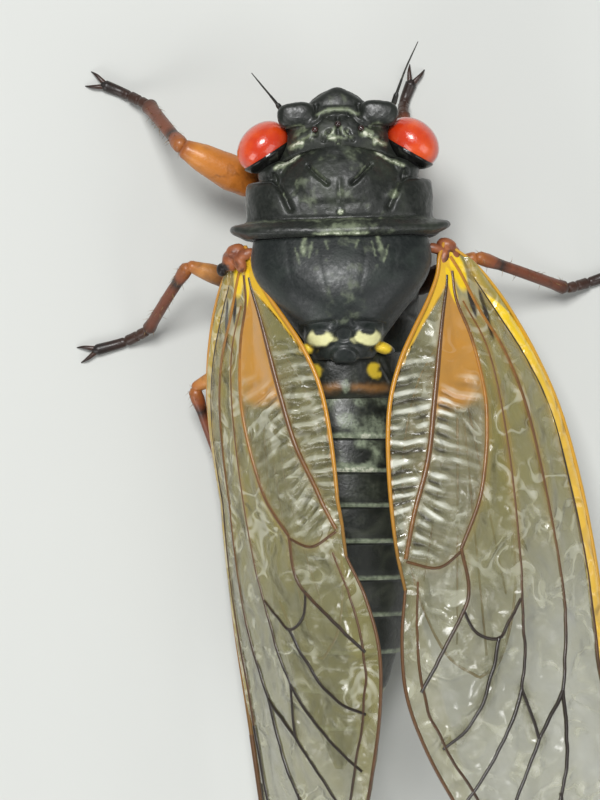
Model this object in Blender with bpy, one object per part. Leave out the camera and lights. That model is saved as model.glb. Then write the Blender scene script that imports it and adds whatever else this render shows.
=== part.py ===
"""Periodical cicada at rest on its feet, wings half folded like a roof, at life size.

All sizes below are in millimetres in the animal's own frame: head towards -Y, tail
towards +Y, the animal's left towards +X, the floor at z = 0. The objects are written
in metres, shifted so that the origin is the bottom centre of the whole animal.
"""

import math
from collections import namedtuple

import bmesh
import bpy
import numpy as np
from mathutils import Matrix, Vector
from mathutils.geometry import delaunay_2d_cdt

MM = 0.001
ORIGIN = Vector((-0.678, 12.919, 0.0))
GAP = 0.25

# Head, as (y, half width, low, level of the widest point, top)
HEAD_RINGS = [
    (-5.70, 1.10, 3.3, 5.6, 6.9),
    (-5.40, 1.75, 2.8, 5.8, 7.40),
    (-4.90, 2.25, 2.5, 6.0, 7.80),
    (-4.35, 2.25, 2.5, 6.1, 8.00),
    (-3.90, 2.55, 2.9, 6.1, 7.95),
]
CLYPEUS_CENTRE = (0.0, -5.02, 5.05)
CLYPEUS_RADII = (1.50, 1.17, 2.55)
CLYPEUS_RIBS = 7
CLYPEUS_TAPER = 0.28
LOBE_CENTRE = (1.74, -4.98, 7.15)
LOBE_RADII = (0.70, 0.47, 0.48)
OCELLI = [(0.0, -4.62, 8.02), (0.85, -4.42, 7.93), (-0.85, -4.42, 7.93)]
OCELLUS_RADIUS = 0.17
EYE_CENTRE = (3.12, -3.84, 6.45)
EYE_RADII = (1.20, 0.92, 1.15)
EYE_TURN = math.radians(43)
ROSTRUM_PATH = [(0.0, -4.75, 1.95), (0.0, -4.0, 1.55), (0.0, -2.2, 1.30), (0.0, 0.2, 1.05)]

# Prothorax, as (y, half width, low, widest level, top): the arched front, then the
# square shoulders with the hind collar
ARCH_RINGS = [
    (-3.48, 1.20, 3.2, 6.2, 7.78),
    (-3.25, 1.65, 2.8, 6.2, 8.02),
    (-2.95, 2.15, 2.6, 6.2, 8.20),
    (-2.70, 2.50, 2.5, 6.2, 8.35),
    (-2.20, 2.80, 2.4, 6.2, 8.50),
    (-1.40, 2.95, 2.4, 6.2, 8.50),
]
PROTHORAX_RINGS = [
    (-2.25, 3.50, 2.5, 6.0, 7.95),
    (-2.08, 3.78, 2.4, 6.1, 8.20),
    (-1.60, 3.88, 2.3, 6.2, 8.40),
    (-0.82, 3.90, 2.3, 6.2, 8.40),
    (-0.62, 4.15, 2.4, 6.5, 8.62),
    (-0.30, 4.52, 2.5, 6.6, 8.85),
    (0.00, 4.42, 2.6, 6.6, 8.90),
    (0.12, 4.10, 2.7, 6.6, 8.78),
]
# Mesothorax: the side walls, then the domed back that narrows to the scutellum
PLEURA_RINGS = [
    (0.40, 3.00, 2.2, 4.6, 7.0),
    (1.00, 3.30, 1.8, 4.6, 6.9),
    (2.20, 3.30, 1.7, 4.4, 6.6),
    (3.60, 3.15, 1.7, 4.3, 6.4),
    (4.90, 3.05, 1.7, 4.3, 6.3),
]
NOTUM_RINGS = [
    (0.40, 3.62, 5.2, 7.2, 8.75),
    (0.95, 3.62, 5.2, 7.2, 9.10),
    (1.70, 3.28, 5.2, 7.2, 9.32),
    (2.50, 2.80, 5.2, 7.2, 9.35),
    (3.20, 2.29, 5.2, 7.2, 9.20),
    (3.85, 1.84, 5.2, 7.2, 8.98),
    (4.35, 1.48, 5.2, 7.2, 8.80),
    (4.90, 1.12, 5.2, 7.2, 8.50),
]
METATHORAX_RINGS = [
    (5.15, 2.95, 1.7, 4.2, 7.75),
    (5.70, 3.00, 1.6, 4.2, 7.80),
    (6.25, 3.00, 1.5, 4.2, 7.75),
]
# Abdomen, as (distance behind the waist, half width, low, widest level, top)
ABDOMEN_SHAPE = [
    (0.0, 3.00, 1.35, 4.2, 7.70),
    (2.0, 3.25, 1.05, 4.0, 7.65),
    (5.0, 3.35, 1.00, 3.8, 7.30),
    (8.0, 3.10, 1.15, 3.7, 6.70),
    (11.0, 2.45, 1.55, 3.6, 5.85),
    (13.5, 1.45, 2.15, 3.6, 4.90),
    (15.0, 0.62, 2.75, 3.6, 4.30),
    (15.9, 0.25, 3.10, 3.5, 3.85),
]
ABDOMEN_START = 6.50
ABDOMEN_SWING = math.radians(-2.2)
SEGMENT_ENDS = [1.85, 3.25, 4.70, 6.20, 7.75, 9.30, 10.90, 12.60, 14.20, 15.90]
SEGMENT_STEP = 0.13

ANTENNA_LEFT = [(2.30, -5.35, 6.45), (2.65, -5.80, 6.60), (3.10, -6.35, 6.85), (3.50, -6.85, 7.05)]
ANTENNA_RIGHT = [(-2.30, -5.35, 6.45), (-2.52, -5.95, 6.60), (-2.90, -6.90, 6.85), (-3.42, -7.955, 7.05)]

# One leg: root on the flank (y, z), knee, ankle, ball and toe of the foot,
# and the radii of thigh, shin and foot
Leg = namedtuple("Leg", "root knee ankle ball toe thigh shin")
LEGS = {
    "fore_left": Leg((-2.3, 3.3), (6.55, -4.05, 4.5), (8.05, -6.15, 1.10), (9.1, -6.75, 0.24),
                     (10.1, -7.20, 0.24), 0.78, 0.36),
    "fore_right": Leg((-2.0, 2.30), (-3.45, -3.95, 2.30), (-2.90, -5.40, 1.20), (-3.00, -6.05, 0.24),
                      (-3.38, -7.00, 0.24), 0.62, 0.32),
    "mid_left": Leg((2.2, 2.9), (6.45, 0.92, 4.4), (8.35, 3.55, 0.95), (9.4, 4.0, 0.24),
                    (10.8, 4.36, 0.24), 0.50, 0.30),
    "mid_right": Leg((2.2, 2.9), (-5.75, 0.88, 4.4), (-9.75, 2.25, 0.95), (-10.9, 1.95, 0.24),
                     (-12.1, 1.55, 0.24), 0.50, 0.30),
    "hind_left": Leg((4.4, 2.6), (6.45, 6.10, 2.15), (5.05, 10.1, 1.00), (4.75, 11.1, 0.24),
                     (4.50, 12.4, 0.24), 0.46, 0.30),
    "hind_right": Leg((4.4, 2.6), (-6.60, 6.20, 2.45), (-6.95, 10.6, 1.05), (-7.10, 11.7, 0.24),
                      (-7.35, 13.0, 0.24), 0.46, 0.30),
}
UNDER_ROOT = 2.75
JOINT_GAP = 0.15
FOOT_RADIUS = 0.26
CLAW_LENGTH = 0.62

# Wings. s runs from the base to the tip, q across: positive towards the front margin.
# A pose is the line q = 0 as (s, x, y, z), the slope of the wing there in degrees, and
# how many degrees a millimetre of q bends it.
Pose = namedtuple("Pose", "side axis slope bend")
POSES = {
    "left": Pose(1, [(0, 3.95, 1.2, 6.9), (6, 4.35, 7.1, 6.0), (12, 4.2, 13.0, 5.4),
                     (20, 3.4, 20.9, 5.1), (35, 1.9, 35.6, 4.3)],
                 [(0, 45), (10, 63), (35, 62)], [(0, 6.0), (14, 6.0), (24, 3.6), (35, 2.5)]),
    "right": Pose(-1, [(0, -4.4, 1.3, 7.1), (6, -5.9, 7.15, 7.2), (12, -7.3, 12.95, 7.0),
                       (20, -9.2, 20.7, 6.6), (35, -12.8, 35.2, 5.4)],
                  [(0, 30), (10, 32), (35, 30)], [(0, 3.5), (35, 3.0)]),
}
FORE_MARGIN = [(0.4, 0.8), (1.4, 1.8), (2.5, 2.5), (4.5, 3.2), (7, 3.75), (10, 3.85), (13, 3.55),
               (17, 2.85), (21, 2.4), (26, 2.0), (30, 1.35), (32.4, 0.5), (33.2, -0.6)]
TIP_MARGIN = [(33.2, -0.6), (32.2, -1.9), (30, -3.1), (27, -4.3), (24, -5.3), (21.5, -6.1),
              (19, -6.7), (16.6, -6.9), (14.4, -6.5), (12.4, -5.8)]
INNER_MARGIN = [(12.4, -5.8), (10.6, -5.7), (8.2, -5.3), (6, -4.75), (4.5, -4.15), (3.2, -3.3),
                (2.2, -2.4), (1.2, -1.4), (0.5, -0.6)]
HIND_MARGIN = [(3.2, 0.2), (5.5, 0.7), (8, 0.7), (11, 0.2), (14, -0.7), (16.3, -2.2), (16.8, -3.4),
               (15.4, -4.6), (12.5, -5.1), (9.5, -4.8), (6.6, -3.9), (4.4, -2.6), (3.2, -1.3)]
VEINS = {
    "costa": [(0.6, 1.0), (2.5, 1.75), (4.6, 2.6), (7, 3.2), (10, 3.2), (13, 2.95), (17, 2.2), (19.5, 1.85)],
    "stem": [(0.4, 0.4), (2.2, 0.9), (4.2, 1.6), (7.1, 1.9), (11.8, 1.6), (15.5, 0.95), (18.3, -0.1)],
    "median": [(1.6, 0.2), (4.0, 0.75), (8.0, 0.4), (12.5, -0.45), (15.8, -1.3), (17.7, -2.0)],
    "cubital": [(1.5, -0.1), (3.2, 0.1), (5.4, 0.0), (7.0, -0.4), (8.5, -1.0), (9.8, -1.7), (11.4, -3.0)],
    "claval": [(0.9, -0.4), (2.5, -1.2), (5.2, -2.4), (7.5, -3.4), (9.5, -4.6), (11.2, -5.45)],
    "anal": [(1.0, -0.8), (2.6, -2.4), (4.8, -4.0), (7.0, -4.75), (10.0, -5.4), (11.6, -5.5)],
    "crossbar": [(11.4, -5.3), (11.9, -4.2), (11.5, -3.0)],
    "cu_lower": [(11.4, -3.0), (13.3, -3.2), (14.6, -4.3), (15.7, -5.4), (16.6, -6.3)],
    "bridge": [(13.8, -3.6), (14.9, -3.3), (15.4, -2.4), (14.8, -1.7), (14.1, -0.9)],
    "cu_upper": [(15.4, -2.4), (17.3, -3.5), (18.5, -4.7), (19.1, -6.0)],
    "m_lower": [(17.7, -2.0), (19.1, -3.1), (20.6, -4.6), (21.4, -5.6)],
    "m_upper": [(17.7, -2.0), (19.0, -1.9), (19.9, -1.8)],
    "r_lower": [(18.3, -0.1), (19.9, -1.8), (21.9, -3.5), (23.6, -4.9)],
    "r_middle": [(18.3, -0.1), (21.0, -0.8), (23.5, -2.3), (26.0, -4.0)],
    "r_upper": [(19.5, 1.85), (22.5, 1.4), (26.0, 0.5), (29.0, -0.8), (30.4, -2.1)],
    "r_tip": [(22.3, -1.6), (25.0, -1.9), (27.6, -2.9)],
    "marginal": [(12.2, -5.2), (14.5, -5.9), (16.8, -6.2), (19.0, -5.9), (21.4, -5.2), (24.0, -4.3),
                 (27.0, -3.2), (30.4, -1.6), (31.4, -0.4), (30.2, 0.6), (26, 1.5), (22, 1.9)],
}
MEMBRANE = 0.25
VEIN_RISE = 0.16
VEIN_HALF_WIDTH = 0.34
COSTA_RISE = 0.22
GRID_STEP = 3.0
PLEAT_HEIGHT = 0.08
PLEAT_LENGTH = 2.4
HIND_DEPTH = 0.86


def material(name, colour, roughness, metallic=0.0):
    """Make a plain material with one colour, roughness and metallic value."""
    made = bpy.data.materials.new(name)
    made.use_nodes = True
    shader = made.node_tree.nodes["Principled BSDF"]
    shader.inputs["Base Color"].default_value = (*colour, 1.0)
    shader.inputs["Roughness"].default_value = roughness
    shader.inputs["Metallic"].default_value = metallic
    return made


def make_object(name, points, faces, look):
    """Make a closed object from points in millimetres, with its faces turned outwards."""
    mesh = bpy.data.meshes.new(name)
    mesh.from_pydata([tuple((Vector(p) - ORIGIN) * MM) for p in points], [], faces)
    work = bmesh.new()
    work.from_mesh(mesh)
    bmesh.ops.recalc_face_normals(work, faces=work.faces)
    work.to_mesh(mesh)
    work.free()
    mesh.materials.append(look)
    mesh.shade_smooth()
    mesh.set_sharp_from_angle(angle=math.radians(40))
    made = bpy.data.objects.new(name, mesh)
    bpy.context.scene.collection.objects.link(made)
    return made


def smooth(points, steps):
    """Sample a smooth curve that passes through the points."""
    control = [np.array(p, float) for p in points]
    control = [2 * control[0] - control[1]] + control + [2 * control[-1] - control[-2]]
    out = []
    for a, b, c, d in zip(control, control[1:], control[2:], control[3:]):
        for k in range(steps):
            t = k / steps
            out.append(0.5 * (2 * b + (c - a) * t + (2 * a - 5 * b + 4 * c - d) * t * t
                              + (3 * b - a - 3 * c + d) * t ** 3))
    out.append(control[-2])
    return out


def evened(points, step):
    """Walk along a line of points and set new ones about one step apart."""
    line = np.array(points)
    lengths = np.concatenate([[0.0], np.cumsum(np.linalg.norm(np.diff(line, axis=0), axis=1))])
    count = max(2, round(lengths[-1] / step) + 1)
    at = np.linspace(0.0, lengths[-1], count)
    return [np.array([np.interp(a, lengths, line[:, k]) for k in range(line.shape[1])]) for a in at]


def ring(y, half, low, level, top, sides, centre=0.0, power=0.9):
    """Return one cross-section: a rounded shape widest at its level."""
    out = []
    for k in range(sides):
        angle = 2 * math.pi * k / sides
        c, s = math.cos(angle), math.sin(angle)
        x = half * math.copysign(abs(c) ** power, c)
        reach = top - level if s >= 0 else level - low
        out.append((centre + x, y, level + reach * math.copysign(abs(s) ** power, s)))
    return out


def loft(name, rings, look):
    """Skin a row of rings and close both ends with a fan."""
    sides = len(rings[0])
    points = [p for one in rings for p in one]
    faces = []
    for r in range(len(rings) - 1):
        for k in range(sides):
            j = (k + 1) % sides
            faces.append((r * sides + k, r * sides + j, (r + 1) * sides + j, (r + 1) * sides + k))
    for one, first in ((rings[0], 0), (rings[-1], (len(rings) - 1) * sides)):
        hub = len(points)
        points.append(tuple(np.mean(np.array(one), axis=0)))
        for k in range(sides):
            faces.append((first + k, first + (k + 1) % sides, hub))
    return make_object(name, points, faces, look)


def body(name, shape, sides, look, relief=None, power=0.9, sweep=None):
    """Skin cross-sections along Y, with an optional relief in height and sweep along Y."""
    rings = []
    for y, half, low, level, top in shape:
        one = ring(y, half, low, level, top, sides, power=power)
        if relief:
            one = [(x, yy, z + relief(x, yy) * (z > level)) for x, yy, z in one]
        if sweep:
            one = [(x, yy + sweep(x, yy), z) for x, yy, z in one]
        rings.append(one)
    return loft(name, rings, look)


def head_sweep(x, y):
    """Return how far back the head's hind margin curves behind the eyes."""
    return 0.60 * (abs(x) / 3.05) ** 2.2 * max(0.0, (y + 5.0) / 1.1)


def ellipsoid(name, centre, radii, look, segments=20, rings=12, turn=0.0):
    """Make an ellipsoid with its poles up and down, turned about them."""
    work = bmesh.new()
    bmesh.ops.create_uvsphere(work, u_segments=segments, v_segments=rings, radius=1.0)
    spin = Matrix.Rotation(turn, 3, "Z")
    points = [tuple(Vector(centre) + spin @ (Vector(v.co) * Vector(radii))) for v in work.verts]
    faces = [tuple(v.index for v in f.verts) for f in work.faces]
    work.free()
    return make_object(name, points, faces, look)


def tube(name, path, radii, look, sides=8, steps=4, floor=None):
    """Skin a round limb along a smooth path; a floor flattens what would pass below it."""
    line = smooth(path, steps)
    lengths = np.concatenate([[0.0], np.cumsum([np.linalg.norm(b - a) for a, b in zip(line, line[1:])])])
    share = lengths / lengths[-1]
    rings = []
    side = None
    for k, centre in enumerate(line):
        ahead = line[min(k + 1, len(line) - 1)] - line[max(k - 1, 0)]
        ahead = Vector(ahead).normalized()
        if side is None:
            side = ahead.cross(Vector((0, 0, 1)))
        side = (side - ahead * side.dot(ahead)).normalized()
        up = side.cross(ahead)
        radius = float(np.interp(share[k], [a for a, _ in radii], [b for _, b in radii]))
        one = []
        for j in range(sides):
            angle = 2 * math.pi * (j + 0.5) / sides
            point = Vector(centre) + (side * math.cos(angle) + up * math.sin(angle)) * radius
            if floor is not None and point.z < floor:
                point.z = floor
            one.append(tuple(point))
        rings.append(one)
    return loft(name, rings, look)


def largest(mesh):
    """Keep only the closed surface with the most faces."""
    work = bmesh.new()
    work.from_mesh(mesh)
    left = set(work.faces)
    groups = []
    while left:
        stack = [left.pop()]
        group = list(stack)
        while stack:
            for edge in stack.pop().edges:
                for face in edge.link_faces:
                    if face in left:
                        left.remove(face)
                        stack.append(face)
                        group.append(face)
        groups.append(group)
    groups.sort(key=lambda g: sum(f.calc_area() for f in g))
    for group in groups[:-1]:
        bmesh.ops.delete(work, geom=group, context="FACES")
    work.to_mesh(mesh)
    work.free()


def boolean(target, others, operation):
    """Join the others to the target, or cut them from it, and remove them."""
    group = bpy.data.collections.new("pieces")
    bpy.context.scene.collection.children.link(group)
    for piece in others:
        bpy.context.scene.collection.objects.unlink(piece)
        group.objects.link(piece)
    step = target.modifiers.new("join", "BOOLEAN")
    step.operation = operation
    step.operand_type = "COLLECTION"
    step.collection = group
    step.solver = "EXACT"
    bpy.context.view_layer.update()
    seen = target.evaluated_get(bpy.context.evaluated_depsgraph_get())
    mesh = bpy.data.meshes.new_from_object(seen)
    target.modifiers.clear()
    target.data = mesh
    look = others[0].data.materials[0] if not mesh.materials else mesh.materials[0]
    mesh.materials.clear()
    mesh.materials.append(look)
    for piece in list(group.objects):
        bpy.data.objects.remove(piece, do_unlink=True)
    bpy.data.collections.remove(group)
    largest(mesh)
    mesh.shade_smooth()
    mesh.set_sharp_from_angle(angle=math.radians(40))
    return target


def mirrored(point, side):
    """Mirror a point to the side of the body: +1 left, -1 right."""
    return (point[0] * side, point[1], point[2])


def flank(shape, y, z):
    """Return how far out the skin of a body lies at one place along it and one height."""
    table = np.array(shape)
    half, low, level, top = (float(np.interp(y, table[:, 0], table[:, k])) for k in (1, 2, 3, 4))
    reach = top - level if z >= level else level - low
    lift = min(0.98, abs(z - level) / reach)
    angle = math.asin(lift ** (1 / 0.9))
    return half * math.cos(angle) ** 0.9


def make_head(look):
    """Make the head: a broad capsule, the ribbed swollen face, the brow lobes and ocelli."""
    head = body("head", HEAD_RINGS, 28, look, sweep=head_sweep)
    points, faces = [], []
    rows, sides = 2 * CLYPEUS_RIBS + 5, 16
    for r in range(1, rows):
        pole = math.pi * r / rows
        rib = 0.07 if r % 2 else -0.04
        for k in range(sides):
            turn = 2 * math.pi * k / sides
            out = math.sin(pole) * (1 + rib * (r > 3) * math.sin(pole))
            taper = 1 - CLYPEUS_TAPER * max(0.0, math.cos(turn)) ** 2
            points.append((CLYPEUS_RADII[0] * out * math.sin(turn) * taper,
                           CLYPEUS_CENTRE[1] - CLYPEUS_RADII[1] * out * math.cos(turn),
                           CLYPEUS_CENTRE[2] + CLYPEUS_RADII[2] * math.cos(pole)))
    for r in range(rows - 2):
        for k in range(sides):
            j = (k + 1) % sides
            faces.append((r * sides + k, r * sides + j, (r + 1) * sides + j, (r + 1) * sides + k))
    for first in (0, (rows - 2) * sides):
        faces.append(tuple(first + k for k in range(sides)))
    pieces = [make_object("clypeus", points, faces, look)]
    for side in (1, -1):
        pieces.append(ellipsoid("lobe", mirrored(LOBE_CENTRE, side), LOBE_RADII, look, 14, 8))
    for centre in OCELLI:
        pieces.append(ellipsoid("ocellus", centre, [OCELLUS_RADIUS] * 3, look, 10, 6))
    boolean(head, pieces, "UNION")
    return boolean(head, make_sockets(look), "DIFFERENCE")


def make_sockets(look):
    """Make the two hollows that the eyes sit in, each the gap wider than its eye."""
    return [ellipsoid("socket", mirrored(EYE_CENTRE, side), [r + GAP for r in EYE_RADII], look, 20, 12,
                      side * EYE_TURN) for side in (1, -1)]


def pronotum_relief(x, y):
    """Return the height of the pronotum's central ridge and its slanting furrows."""
    if y > -0.9 or y < -3.4:
        return 0.0
    furrow = math.exp(-((abs(x) - 0.55 - 1.05 * (-y - 2.1)) / 0.30) ** 2) * (y < -1.9)
    outer = math.exp(-((abs(x) - 2.35 - 0.45 * (-y - 1.9)) / 0.32) ** 2)
    return -0.20 * furrow - 0.16 * outer


def notum_relief(x, y):
    """Return the height of the cross-shaped scutellum and the shallow lines before it."""
    line = math.exp(-((abs(x) - 0.95 - 0.12 * y) / 0.3) ** 2) * (y < 3.4)
    arms = math.exp(-((abs(x) - 1.05) / 0.4) ** 2 - ((y - 4.1) / 0.5) ** 2)
    dip = math.exp(-(x / 0.5) ** 2 - ((y - 3.7) / 0.4) ** 2)
    return -0.05 * line + 0.14 * arms - 0.10 * dip


def make_mesothorax(look):
    """Make the middle thorax: side walls joined to the domed back."""
    walls = body("mesothorax", PLEURA_RINGS, 24, look)
    back = body("back", NOTUM_RINGS, 32, look, notum_relief, 0.95)
    return boolean(walls, [back], "UNION")


def make_abdomen(look):
    """Make the abdomen: overlapping plates that narrow to a pointed tip."""
    table = np.array(ABDOMEN_SHAPE)
    rings = []
    start = 0.0
    turn = Matrix.Rotation(-ABDOMEN_SWING, 3, "Z")
    for end in SEGMENT_ENDS:
        for at, step in ((start, SEGMENT_STEP), (start + 0.35, 0.04), (end, 0.0)):
            half, low, level, top = (float(np.interp(at, table[:, 0], table[:, k])) for k in (1, 2, 3, 4))
            shrink = step * min(1.0, half / 1.5)
            one = ring(at, half - shrink, low + shrink, level, top - shrink, 22, power=1.0)
            swung = [turn @ Vector(p) for p in one]
            rings.append([(p.x, p.y + ABDOMEN_START, p.z) for p in swung])
        start = end + 0.02
    return loft("abdomen", rings, look)


def make_leg(name, leg, shape, looks):
    """Make one leg as thigh, shin and foot, each stopping short of the next by the gap."""
    side = 1 if leg.knee[0] > 0 else -1
    y, z = leg.root
    low = float(np.interp(y, np.array(shape)[:, 0], np.array(shape)[:, 2]))
    out = flank(shape, y, z) + leg.thigh * 0.75 + GAP if z > low else UNDER_ROOT
    root = Vector((side * out, y, z))
    knee, ankle, ball, toe = (Vector(p) for p in leg[1:5])
    along = (knee - root).normalized()
    end = knee - along * (leg.shin + JOINT_GAP)
    middle = root.lerp(end, 0.5) + Vector((0, 0, 0.12))
    t = leg.thigh
    tube("thigh_" + name, [root, middle, end],
         [(0, t * 0.3), (0.12, t * 0.8), (0.35, t), (0.75, t * 0.8), (0.93, t * 0.62), (1, t * 0.5)],
         looks[0], 10, 4)
    down = (ankle - knee).normalized()
    stop = ankle - down * 0.5 * JOINT_GAP
    s = leg.shin
    tube("shin_" + name, [knee, knee.lerp(stop, 0.5) + Vector((0, 0, 0.08)), stop],
         [(0, s * 0.75), (0.08, s), (0.3, s * 0.8), (0.9, s * 0.85), (1, s * 0.6)],
         looks[1], 8, 4)
    start = ankle + (ball - ankle).normalized() * JOINT_GAP
    f = FOOT_RADIUS
    foot = tube("foot_" + name, [start, ball, toe],
                [(0, f * 0.6), (0.1, f), (0.9, f * 0.95), (1, f * 0.6)], looks[2], 8, 3, 0.0)
    ahead = (toe - ball).normalized()
    across = Vector((ahead.y, -ahead.x, 0.0))
    claws = []
    for way in (1, -1):
        first = toe - ahead * 0.12 + across * way * 0.08
        knuckle = toe + ahead * CLAW_LENGTH * 0.5 + across * way * 0.26
        tip = toe + ahead * CLAW_LENGTH + across * way * 0.34
        first.z, knuckle.z, tip.z = 0.26, 0.24, 0.08
        claws.append(tube("claw", [first, knuckle, tip], [(0, 0.15), (0.5, 0.13), (1, 0.05)],
                          looks[2], 5, 2, 0.0))
    return boolean(foot, claws, "UNION")


def wing_point(pose, s, q, depth):
    """Return the place of a wing point, at a depth under the wing's own surface."""
    table = np.array(pose.axis, float)
    slope = np.gradient(table[:, 1:], table[:, 0], axis=0)
    k = int(min(max(np.searchsorted(table[:, 0], s) - 1, 0), len(table) - 2))
    span = table[k + 1, 0] - table[k, 0]
    t = (s - table[k, 0]) / span
    weights = (2 * t ** 3 - 3 * t * t + 1, (t ** 3 - 2 * t * t + t) * span,
               3 * t * t - 2 * t ** 3, (t ** 3 - t * t) * span)
    rate = ((6 * t * t - 6 * t) / span, 3 * t * t - 4 * t + 1, (6 * t - 6 * t * t) / span, 3 * t * t - 2 * t)
    parts = (table[k, 1:], slope[k], table[k + 1, 1:], slope[k + 1])
    base = sum(w * p for w, p in zip(weights, parts))
    along = sum(r * p for r, p in zip(rate, parts))
    out = np.array([along[1], -along[0], 0.0]) * pose.side
    out /= np.linalg.norm(out)
    first = math.radians(float(np.interp(s, *zip(*pose.slope))))
    rate_of_bend = math.radians(float(np.interp(s, *zip(*pose.bend))))
    angle = first + rate_of_bend * q
    across = (math.sin(angle) - math.sin(first)) / rate_of_bend
    drop = (math.cos(first) - math.cos(angle)) / rate_of_bend
    up = np.array([0.0, 0.0, 1.0])
    normal = out * math.sin(angle) + up * math.cos(angle)
    return base + out * across - up * drop - normal * depth


def nearest(lines, point):
    """Return the distance from a point to the nearest of the lines, and which it is."""
    best, which = 1e9, None
    for name, line in lines.items():
        a = line[:-1]
        d = line[1:] - a
        t = np.clip(((point - a) * d).sum(axis=1) / (d * d).sum(axis=1), 0.0, 1.0)
        gap = np.linalg.norm(a + d * t[:, None] - point, axis=1).min()
        if gap < best:
            best, which = gap, name
    return best, which


def wing_sheet(name, pose, outline, lines, depth, look):
    """Skin one wing: the same triangles on both faces, thicker along the veins."""
    rim = [np.array(p) for p in outline]
    points = [Vector(p) for p in rim]
    edges = []
    for line in lines.values():
        heading = np.gradient(line, axis=0)
        heading /= np.linalg.norm(heading, axis=1)[:, None]
        beside = np.stack([-heading[:, 1], heading[:, 0]], axis=1)
        for shift in (-VEIN_HALF_WIDTH, 0.0, VEIN_HALF_WIDTH):
            last = None
            for p in line + beside * shift:
                if not inside(p, rim, 0.25):
                    last = None
                    continue
                points.append(Vector(p))
                if last is not None:
                    edges.append((last, len(points) - 1))
                last = len(points) - 1
    low, high = np.min(rim, axis=0), np.max(rim, axis=0)
    for i, s in enumerate(np.arange(low[0] + 1.0, high[0], GRID_STEP)):
        for q in np.arange(low[1] + 0.7 + GRID_STEP * 0.5 * (i % 2), high[1], GRID_STEP):
            p = np.array((s, q))
            if inside(p, rim, 0.6) and (not lines or nearest(lines, p)[0] > VEIN_HALF_WIDTH + 0.45):
                points.append(Vector(p))
    count = len(rim)
    flat = delaunay_2d_cdt(points, edges, [list(range(count))], 1, 1e-4)
    spots, faces = [np.array(p) for p in flat[0]], [tuple(f) for f in flat[2]]
    top, under = [], []
    for p in spots:
        rise = 0.0
        if lines:
            gap, which = nearest(lines, p)
            height = COSTA_RISE if which == "costa" else VEIN_RISE
            rise = height * max(0.0, 1.0 - gap / VEIN_HALF_WIDTH)
        pleat = PLEAT_HEIGHT * math.sin(2 * math.pi * p[0] / PLEAT_LENGTH) * (depth > 0)
        top.append(wing_point(pose, p[0], p[1], depth - MEMBRANE - rise - pleat))
        under.append(wing_point(pose, p[0], p[1], depth + MEMBRANE + 0.5 * rise - pleat))
    total = len(spots)
    uses = {}
    for face in faces:
        for a, b in zip(face, face[1:] + face[:1]):
            uses[(a, b)] = uses.get((a, b), 0) + 1
    border = [(a, b) for a, b in uses if (b, a) not in uses]
    skin = faces + [tuple(total + k for k in reversed(f)) for f in faces]
    skin += [(b, a, total + a, total + b) for a, b in border]
    return make_object(name, top + under, skin, look)


def inside(point, rim, margin):
    """Say whether a point lies inside the rim and clear of it by the margin."""
    line = np.array(rim + [rim[0]])
    a, b = line[:-1], line[1:]
    crosses = (a[:, 1] > point[1]) != (b[:, 1] > point[1])
    at = a[:, 0] + (point[1] - a[:, 1]) * (b[:, 0] - a[:, 0]) / np.where(crosses, b[:, 1] - a[:, 1], 1.0)
    if np.count_nonzero(crosses & (point[0] < at)) % 2 == 0:
        return False
    return nearest({"rim": line}, point)[0] > margin


def make_wings(side_name, looks):
    """Make one forewing with raised veins and the plainer hindwing under it."""
    pose = POSES[side_name]
    outline = []
    for part in (FORE_MARGIN, TIP_MARGIN, INNER_MARGIN):
        outline += evened(smooth(part, 6), 1.5)[:-1]
    outline.append(np.array(INNER_MARGIN[-1]))
    veins = {name: np.array(evened(smooth(line, 6), 1.3)) for name, line in VEINS.items()}
    wing_sheet("forewing_" + side_name, pose, outline, veins, 0.0, looks[0])
    back = evened(smooth(HIND_MARGIN + HIND_MARGIN[:1], 4), 1.4)[:-1]
    wing_sheet("hindwing_" + side_name, pose, back, {}, HIND_DEPTH, looks[1])


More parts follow.
